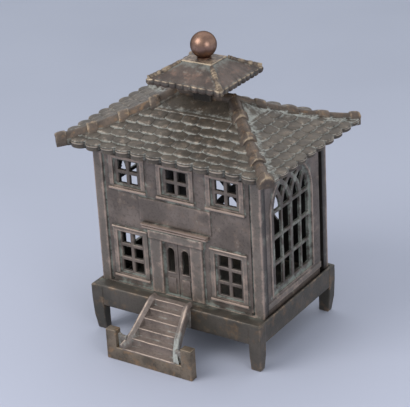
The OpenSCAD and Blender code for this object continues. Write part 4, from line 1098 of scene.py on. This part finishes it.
def trayShell():
    # rings from the rod's hole over the floor, up out of the seat, round the skirt and back under
    t = tray
    e, s, top, low = t["soft"], t["skirt"], t["top"], t["skirtFoot"]
    outer = (t["half"], (t["back"] - t["front"]) / 2, (t["back"] + t["front"]) / 2)
    inner = (*t["seatHalf"], houseY)
    steps = [                        # outline, inset, height, worn, hollow
        (inner, 24, t["floor"], 0, 0.4), (inner, 3.0, t["floor"], 0, 0.5), (inner, 0.0, t["floor"], 0, 1.0),
        (inner, 0.0, top - 0.3, 0.2, 0.6), (inner, -0.3, top, 0.6, 0.6), (inner, -0.6, top, 0.1, 0.8),
        (outer, 1.1, top, 0.5, 0.1), (outer, e, top, 0.6, 0), (outer, e * 0.3, top - e * 0.3, 0.8, 0),
        (outer, 0, top - e, 0.5, 0), (outer, 0, top - 1.4, 0.1, 0.1), (outer, 0, 19.0, 0.05, 0.25),
        (outer, 0, low + 1.2, 0.05, 0.3), (outer, 0, low + e, 0.4, 0.2), (outer, e, low, 0.5, 0.1),
        (outer, s - e, low, 0.4, 0.1), (outer, s, low + e, 0.3, 0.2), (outer, s, 17.0, 0, 0.4),
        (outer, s, t["under"], 0, 0.9), (outer, s + 3, t["under"], 0, 0.5), (outer, 26, t["under"], 0, 0.5)]
    rings, worn, hollow = [], [], []
    for outline, inset, level, w, h in steps:
        hx, hy, cy = outline
        radius = max(0.5, 1.3 - inset * 0.3) if outline is outer else 0.5
        flat, corner = roundRect(hx - inset, hy - inset, radius, arc=5, side=14)
        rings.append(laid(flat, level, midY=cy))
        worn.append(np.maximum(w * 0.8, corner * 0.5 * (0.2 < w + corner * 0.5)))
        hollow.append(np.full(len(flat), h))
    m = len(rings[0])
    flat, _ = roundRect(10, 10, 1.3, arc=5, side=14)
    angle = np.arctan2(flat[:, 1], flat[:, 0])
    circle = np.stack([np.cos(angle), np.sin(angle)], -1)
    boss, bossFoot, hole = t["boss"], t["bossFoot"], t["hole"]
    under = [                        # radius, height, worn, hollow
        (boss + 0.4, t["under"], 0, 0.9), (boss, t["under"] - 0.4, 0.1, 0.5), (boss, bossFoot + 0.4, 0.3, 0.1),
        (boss - 0.4, bossFoot, 0.5, 0), (6.1, bossFoot, 0.2, 0.3), (6.0, bossFoot + 1.6, 0, 0.9),
        (hole, bossFoot + 1.6, 0, 0.8)]
    under = [(hole, t["floor"], 0, 0.4)] + under
    circles = [laid(radius * circle, level) for radius, level, _, _ in under]
    rings = circles[:1] + rings + circles[1:]
    worn = [np.zeros(m)] + worn + [np.full(m, w) for _, _, w, _ in under[1:]]
    hollow = [np.full(m, 0.4)] + hollow + [np.full(m, h) for _, _, _, h in under[1:]]
    return tube("trayShell", rings, skins["tray"], np.array(worn), np.array(hollow), loop=True,
                stands=["base_tray"], sharp=45)


trayShell()


def trayLeg(name, sx, sy):
    # rounded rectangles from the foot to the rim; the two outer faces lean in towards the foot
    t = tray
    outX = t["half"] + t["legProud"]
    edgeY = t["front"] if sy < 0 else t["back"]
    outY = edgeY + sy * t["legProud"]
    inX, inY = t["half"] - t["leg"][0], edgeY - sy * t["leg"][1]
    top, shoulder = t["top"] - t["legProud"], 17.0
    levels = np.array([0, 0.12, 0.45, 1.5, 4, 7.6, 12, 14, shoulder, 19, 21, 23, top - 0.5, top - 0.12, top])
    inset = np.array([0.5, 0.12, 0, 0, 0, 0, 0, 0, 0, 0, 0, 0, 0, 0.12, 0.5])
    draw = t["legDraw"] * np.interp(levels, [0, shoulder * 0.45, shoulder], [1, 0.25, 0])
    worn = np.array([.4, .8, .7, .3, .2, .1, .1, .1, .1, .1, .1, .2, .5, .9, .6])
    rings, edges = [], []
    for level, i, d in zip(levels, inset, draw):
        x0, x1 = span(sx, inX, outX - d)
        y0, y1 = sorted((inY, outY - sy * d))
        flat, corner = roundRect((x1 - x0) / 2 - i, (y1 - y0) / 2 - i, 0.55, arc=5)
        rings.append(laid(flat, level, (x0 + x1) / 2, (y0 + y1) / 2))
        edges.append(corner)
    share = np.maximum(worn[:, None] * 0.8, np.array(edges) * 0.5)
    return tube(name, rings, skins["tray"], share, 0.1 + 0 * share)


for label, sx, sy in corners:
    trayLeg("trayLeg" + label, sx, sy)
ribs("trayRib", *rib["inTray"], skins["tray"], 0.5)
print("stage 6: tray made")


# Stairs

stairs = {
    "middle": -1.1, "trayFront": -29.7, "reach": 21.0, "steps": 5, "landing": 26.1, "landingOut": 1.6, "last": 7.3,
    "half": 8.0, "flare": 6.4, "stringer": 2.9, "up": 1.2, "flight": 2.2, "kerbDepth": 4.2, "kerbTop": 12.6,
    "kerbBack": 2.2, "kerbHalf": 23.9, "newel": (5.7, 4.2, 15.7), "flange": 2.0, "flangeFoot": 15.1, "lip": 1.6,
}


def nosing(k):
    # y and z of the front edge of step k: even steps out, and a fall that grows towards the foot
    s = stairs
    share = k / s["steps"]
    y = -s["landingOut"] - k * (s["reach"] - s["landingOut"]) / s["steps"]
    return y, s["landing"] - (s["landing"] - s["last"]) * share * (0.81 + 0.19 * share)


def treadHalf(y):
    # half width of the treads at y in front of the tray: nearly straight, then a late flare
    t = np.clip(-y / stairs["reach"], 0, 1)
    return stairs["half"] + stairs["flare"] * (0.5 * t + 0.5 * t ** 6)


def underAt(y):
    # height of the flight's underside: a straight line a flight's thickness under two nosings
    (y0, _), (y3, _) = nosing(0), nosing(3)
    high, low = nosing(1)[1] - stairs["flight"], nosing(4)[1] - stairs["flight"]
    return high + (low - high) * (y - y0) / (y3 - y0)


def flight():
    # the steps' outline in y and z, carried across; its width follows the treads
    s = stairs
    path = [(s["lip"], s["landing"], 0.1, 0.3)]
    for k in range(s["steps"] + 1):
        y, z = nosing(k)
        foot = nosing(k + 1)[1] if k < s["steps"] else 0.0
        path += [(y + 1.0, z - 0.02, 0.1, 0.1), (y + 0.42, z + 0.06, 0.2, 0), (y + 0.1, z, 0.8, 0),
                 (y - 0.06, z - 0.22, 0.9, 0), (y, z - 0.6, 0.1, 0.1), (y + 0.12, z - 1.0, 0, 0.3)]
        if k < s["steps"]:
            path += [(y + 0.1, foot + 0.7, 0, 0.1), (y, foot + 0.1, 0, 0.45), (y - 0.25, foot - 0.02, 0, 0.35),
                     (y - 1.0, foot - 0.03, 0.1, 0.1)]
    front = -s["reach"]
    back = front + s["kerbDepth"]
    path += [(front + 0.15, 6.2, 0, 0.6), (front + 0.3, 4.5, 0, 0.1), (front + 0.3, 0.4, 0, 0.1),
             (front + 0.6, 0, 0, 0), (back - 0.4, 0, 0.3, 0.2), (back, 0.4, 0.2, 0.3), (back, underAt(back), 0, 0.6)]
    for y in np.linspace(back, -s["flange"], 6)[1:]:
        path.append((y, underAt(y), 0, 0.6))
    path += [(-s["flange"], s["flangeFoot"] + 0.3, 0.1, 0.4), (-s["flange"] + 0.3, s["flangeFoot"], 0.3, 0.3),
             (0, s["flangeFoot"], 0.1, 0.4), (0, tray["top"], 0, 0.4), (s["lip"], tray["top"] + 0.05, 0, 0.4)]
    table = np.array(path)
    y, z = table[:, 0], table[:, 1]
    u = np.linspace(-1, 1, 33)
    half = treadHalf(y) + 0.4
    rings = np.zeros((len(u), len(y), 3))
    rings[..., 0] = s["middle"] + u[:, None] * half[None]
    uneven = wobble(rings[..., 0], y[None] * 1.0, 31, 0.10, 9)
    rings[..., 1] = s["trayFront"] + y[None] + uneven * 0.5
    rings[..., 2] = np.maximum(z[None] + uneven * (z[None] > 1) * (y[None] < -0.5), 0)
    side = np.clip((np.abs(u) - 0.8) / 0.2, 0, 1)[:, None]
    return tube("stairFlight", rings, skins["stair"], table[None, :, 2] * (1 - side * 0.8),
                table[None, :, 3] + side * 0.35, stands=["front_stairs"], sharp=45)


flight()


def stringer(name, side):
    # a wall along the edge of the treads with a round top, from the landing to the kerb
    s = stairs
    y = np.concatenate([[s["lip"]], np.linspace(0.6, -s["reach"] + 0.5, 46)])
    knots = np.array([nosing(k) for k in range(s["steps"] + 1)])[::-1]
    line = np.interp(y, knots[:, 0], knots[:, 1]) + s["up"]
    inner = treadHalf(y)
    low = np.where(y > -s["flange"], np.where(y > 0, tray["top"], s["flangeFoot"]), underAt(y))
    low = np.where(y < -s["reach"] + s["kerbDepth"], 0.0, low)
    low = np.minimum(low, line - 1.5)
    w = s["stringer"]
    # section: up a slope from the treads to a narrow ridge, then straight down outside
    head = np.array([(0, 0), (.4, .3), (.95, .8), (1.45, 1.15), (1.8, 1.3), (2.15, 1.32), (2.5, 1.22), (2.72, 1.0),
                     (2.85, .7), (w, .3)])
    # rub, with a painted highlight, strongest on the ridge
    rubAndHighlight = np.array([0, .1, .2, .5, 1, .9, .5, .2, .1, .1])
    round_ = 1.3
    rings, bright, dull = [], [], []
    for yy, top, foot, inn in zip(y, line, low, inner):
        middle = (foot + top - round_) / 2
        xs = np.concatenate([[0.3, 0, 0], head[:, 0], [w, w, w - 0.3]])
        zs = np.concatenate([[foot, foot + 0.3, middle], top - round_ + head[:, 1], [middle, foot + 0.3, foot]])
        rings.append(np.column_stack([s["middle"] + side * (inn + xs), np.full(len(xs), s["trayFront"] + yy), zs]))
        # towards the foot the ridge's rub and painted highlight fade and the stringer turns darker and greener, most
        # on the right stringer: damp, and painted shade; the highlight fades also towards the landing
        down = np.clip((-yy - 8) / 8, 0, 1)
        ridge = (1 - (0.75 if side > 0 else 0.3) * down) * np.clip((1 - yy) / 6, 0.2, 1)
        dampAndShade = 0.15 + down * (1.0 if side > 0 else 0.3)
        bright.append(np.concatenate([[0, 0, 0.1], rubAndHighlight * ridge, [0.1, 0.1, 0.2]]))
        dull.append(np.concatenate([[0.8, 0.7, 0.5], np.full(len(head), dampAndShade), [0.45, 0.5, 0.5]]))
    rings = np.array(rings)
    rings[..., 0] += side * wobble(rings[..., 1], rings[..., 2], 47 + side, 0.18, 8)
    return tube(name, rings, skins["stair"], np.array(bright), np.array(dull), sharp=50)



def kerbWing(name, side):
    # the thin wall between a stringer and its newel: its top sags in a curve between the two
    s = stairs
    foot = s["trayFront"] - s["reach"]
    start = treadHalf(-s["reach"] + s["kerbDepth"]) + s["stringer"] - 0.5
    end = s["kerbHalf"] - s["newel"][0] + 0.5
    share = np.linspace(0, 1, 14)
    top = s["kerbTop"] - 0.4 + 1.9 * share ** 3 + 0.7 * (1 - share) ** 2
    y0, y1 = foot + s["kerbBack"], foot + s["kerbDepth"]
    turn = np.linspace(0, math.pi, 9)
    mid, half = (y0 + y1) / 2, (y1 - y0) / 2
    arcY, arcZ = mid - half * np.cos(turn), 0.6 * np.sin(turn)
    rings = []
    for u, level in zip(share, top):
        ys = np.concatenate([[y0, y0], arcY, [y1, y1]])
        zs = np.concatenate([[0, level * 0.5], level - 0.6 + arcZ, [level * 0.5, 0]])
        rings.append(np.column_stack([np.full(len(ys), s["middle"] + side * (start + (end - start) * u)), ys, zs]))
    worn = np.concatenate([[0, 0], 0.4 * np.sin(turn), [0.1, 0]])
    dull = np.concatenate([[0.7, 0.8], np.full(9, 0.6), [0.6, 0.5]])
    return tube(name, rings, skins["stair"], worn[None] + np.zeros((14, 1)), dull[None] + np.zeros((14, 1)), sharp=50)


s = stairs
foot = s["trayFront"] - s["reach"]
newelIn = s["kerbHalf"] - s["newel"][0]
for label, side in (("Left", -1), ("Right", 1)):
    stringer("stringer" + label, side)
    newelX = sorted((s["middle"] + side * newelIn, s["middle"] + side * s["kerbHalf"]))
    block("newel" + label, newelX, (foot, foot + s["newel"][1]), (0, s["newel"][2]), skins["kerb"], 0.3, arris=0.3)
    kerbWing("kerbWing" + label, side)
reach = newelIn + 0.5
block("kerbFront", (s["middle"] - reach, s["middle"] + reach), (foot + 0.04, foot + s["kerbDepth"] - 0.1),
      (0, s["last"] - 0.5), skins["kerb"], 0.3)


def turned(name, profile, skin, around=48, worn=None, **more):
    # a profile of radius and height turned about the middle of the house
    profile = np.array(profile, float)
    angle = roundTurns(around)
    rings = np.zeros((len(profile), around, 3))
    rings[..., 0] = profile[:, :1] * np.cos(angle)
    rings[..., 1] = houseY + profile[:, :1] * np.sin(angle)
    rings[..., 2] = profile[:, 1:2]
    return tube(name, rings, skin, np.array(worn)[:, None], **more)


rivet = {"at": 6.0, "level": 17.5, "radius": 0.95, "head": 1.85, "dome": 0.85}
for label, side in (("Left", -1), ("Right", 1)):
    # a domed head on each end of the shank, turned and then laid along y
    r = rivet
    turn = np.linspace(0.06, math.pi / 2, 7)
    start, end = stairs["trayFront"] - 2.0, stairs["trayFront"] + 2.4
    dome = [(r["head"] * math.sin(t), r["dome"] * math.cos(t)) for t in turn]
    profile = [(a, start - b) for a, b in dome] + [(r["radius"], start), (r["radius"], end)]
    profile = np.array(profile + [(a, end + b) for a, b in dome[::-1]])
    angle = roundTurns(28)
    rings = np.stack([stairs["middle"] + side * r["at"] + profile[:, :1] * np.cos(angle),
                      profile[:, 1:] + 0 * angle, r["level"] + profile[:, :1] * np.sin(angle)], -1)
    tube("stairRivet" + label, rings, skins["rivet"], 0.4, 0.2, stands=["stair_rivets"] if side < 0 else ())
print("stage 7: stairs made")


# Ball, washer, rod and nut

ball = {"radius": 6.2, "centre": 141.528, "foot": 135.956, "hole": 1.65}
turn = np.linspace(0.004, math.pi - math.acos((ball["centre"] - ball["foot"]) / ball["radius"]), 48)
profile = [(ball["radius"] * math.sin(t), ball["centre"] + ball["radius"] * math.cos(t)) for t in turn]
turned("finialBall", profile + [(ball["hole"], ball["foot"]), (ball["hole"], ball["foot"] + 2)], skins["ball"], 72,
       worn=[0.1] * 50, stands=["finial_ball"])
turned("captiveWasher", [(1.75, 135.2), (3.1, 135.16), (3.4, 135.3), (3.4, 135.75), (3.1, 135.94), (1.75, 135.94)],
       skins["washer"], worn=[.2, .5, 1, 1, .5, .2], stands=["captive_washer"], loop=True)

rod = {"radius": 1.6, "foot": 13.9, "top": 142.4, "threadTop": 24.0, "pitch": 1.0, "depth": 0.16,
       "collar": (134.1, 135.05), "collarOut": 0.2}


def threadedRod():
    # radius = plain radius, less a saw-tooth that winds once round in each pitch over the threaded
    # end, plus a slightly thicker collar inside the small roof's plate
    r = rod
    low, high = r["collar"]
    fine = np.arange(r["foot"] + 0.2, r["threadTop"], 0.125)
    z = np.concatenate([[r["foot"], r["foot"] + 0.1], fine, np.linspace(r["threadTop"] + 0.2, 134.0, 24),
                        [low, 134.15, 135.0, high], np.linspace(135.2, r["top"], 5)])
    angle = roundTurns(32)
    wave = (z[:, None] / r["pitch"] - angle[None] / (2 * math.pi)) % 1.0
    cut = r["depth"] * np.abs(2 * wave - 1) * ((z > r["foot"] + 0.1) & (z < r["threadTop"]))[:, None]
    radius = r["radius"] - cut
    radius = np.where((z[:, None] < r["foot"] + 0.05), r["radius"] - 0.3, radius)
    radius = np.where((z[:, None] > low + 0.02) & (z[:, None] < high - 0.03), r["radius"] + r["collarOut"], radius)
    rings = np.stack([radius * np.cos(angle), houseY + radius * np.sin(angle), z[:, None] + 0 * angle], -1)
    return tube("tieRod", rings, skins["rod"], 0.3 - cut, cut * 4, stands=["tie_rod"], sharp=50)


threadedRod()

nut = {"half": 4.2, "top": 19.1, "foot": 15.1, "hole": 1.65}
flat, corner = roundRect(nut["half"], nut["half"], 0.5, arc=5)
angle = np.arctan2(flat[:, 1], flat[:, 0])
hole = np.column_stack([nut["hole"] * np.cos(angle), nut["hole"] * np.sin(angle)])
rings = [laid(f, z) for f, z in (
    (hole, nut["foot"]), (flat * 0.93, nut["foot"]), (flat * 0.985, nut["foot"] + 0.1), (flat, nut["foot"] + 0.4),
    (flat, nut["top"] - 0.4), (flat * 0.985, nut["top"] - 0.1), (flat * 0.93, nut["top"]), (hole, nut["top"]))]
tube("baseNut", rings, skins["nut"], np.array([.2, .6, 1, .7, .5, .9, .5, .1])[:, None], 0.1, loop=True,
     stands=["base_nut"])
print("stage 8: ball, rod and nut made")


# Floor, light and camera

floorMesh = bpy.data.meshes.new("floor")
floorMesh.from_pydata([(-3, -3, 0), (3, -3, 0), (3, 3, 0), (-3, 3, 0)], [], [(0, 1, 2, 3)])
floor = bpy.data.objects.new("floor", floorMesh)
bpy.context.scene.collection.objects.link(floor)
floorShader = Shader("paleFloor")
# painted shade on the floor: darker towards the back and the left, lighter at the front right; the cloudy noise is
# the paper's own tone
away = (floorShader.axis(1) * 0.83 - floorShader.axis(0) * 0.56).step(-0.3, 0.5)
cloud = floorShader.noise(160, 2).step(0.3, 0.7)
paperWithPaintedShade = floorShader.mix(cloud, tone(156, 162, 177), tone(160, 166, 181))
paperWithPaintedShade = floorShader.mix(away, tone(183, 188, 205), paperWithPaintedShade)
floorMesh.materials.append(floorShader.finish(paperWithPaintedShade, 0.8, 0.0, floorShader.noise(1.2, 2), 0.01, {}))

world = bpy.data.worlds.new("softRoom")
bpy.context.scene.world = world
world.use_nodes = True
sky = world.node_tree.nodes["Background"]
sky.inputs["Color"].default_value = (0.92, 0.95, 1.0, 1)
sky.inputs["Strength"].default_value = 0.8

lamps = {                            # place in metres, size, watts, colour
    "key": ((-0.45, -0.75, 0.8), 0.8, 6.6, (1.0, 0.97, 0.94)),
    "top": ((-0.3, 0.75, 1.0), 1.5, 2.4, (1.0, 0.98, 0.97)),
    "side": ((0.95, -0.45, 0.45), 0.6, 2.6, (1.0, 0.98, 0.97)),
}
target = Vector((0, 0, 0.07))
for name, (at, size, watts, color) in lamps.items():
    lamp = bpy.data.lights.new(name, "AREA")
    lamp.shape, lamp.size, lamp.energy, lamp.color = "DISK", size, watts, color
    holder = bpy.data.objects.new(name, lamp)
    bpy.context.scene.collection.objects.link(holder)
    holder.location = at
    holder.rotation_euler = (target - Vector(at)).to_track_quat("-Z", "Y").to_euler()

view = {"at": (0.37798, -0.55750, 0.37569), "turn": 34.044, "down": 24.796, "roll": -3.216, "lens": 137.4}
turn, down, roll = (math.radians(view[k]) for k in ("turn", "down", "roll"))
backward = Vector((math.sin(turn) * math.cos(down), -math.cos(turn) * math.cos(down), math.sin(down)))
right = Vector((math.cos(turn), math.sin(turn), 0))
upward = backward.cross(right)
leanRight = math.cos(roll) * right + math.sin(roll) * upward
leanUp = math.cos(roll) * upward - math.sin(roll) * right
camera = bpy.data.objects.new("camera", bpy.data.cameras.new("camera"))
bpy.context.scene.collection.objects.link(camera)
camera.matrix_world = Matrix.Translation(view["at"]) @ Matrix((leanRight, leanUp, backward)).transposed().to_4x4()
camera.data.lens, camera.data.sensor_width = view["lens"], 36
bpy.context.scene.camera = camera
bpy.context.scene.view_settings.view_transform = "Standard"
print("stage 9: floor, light and camera set")
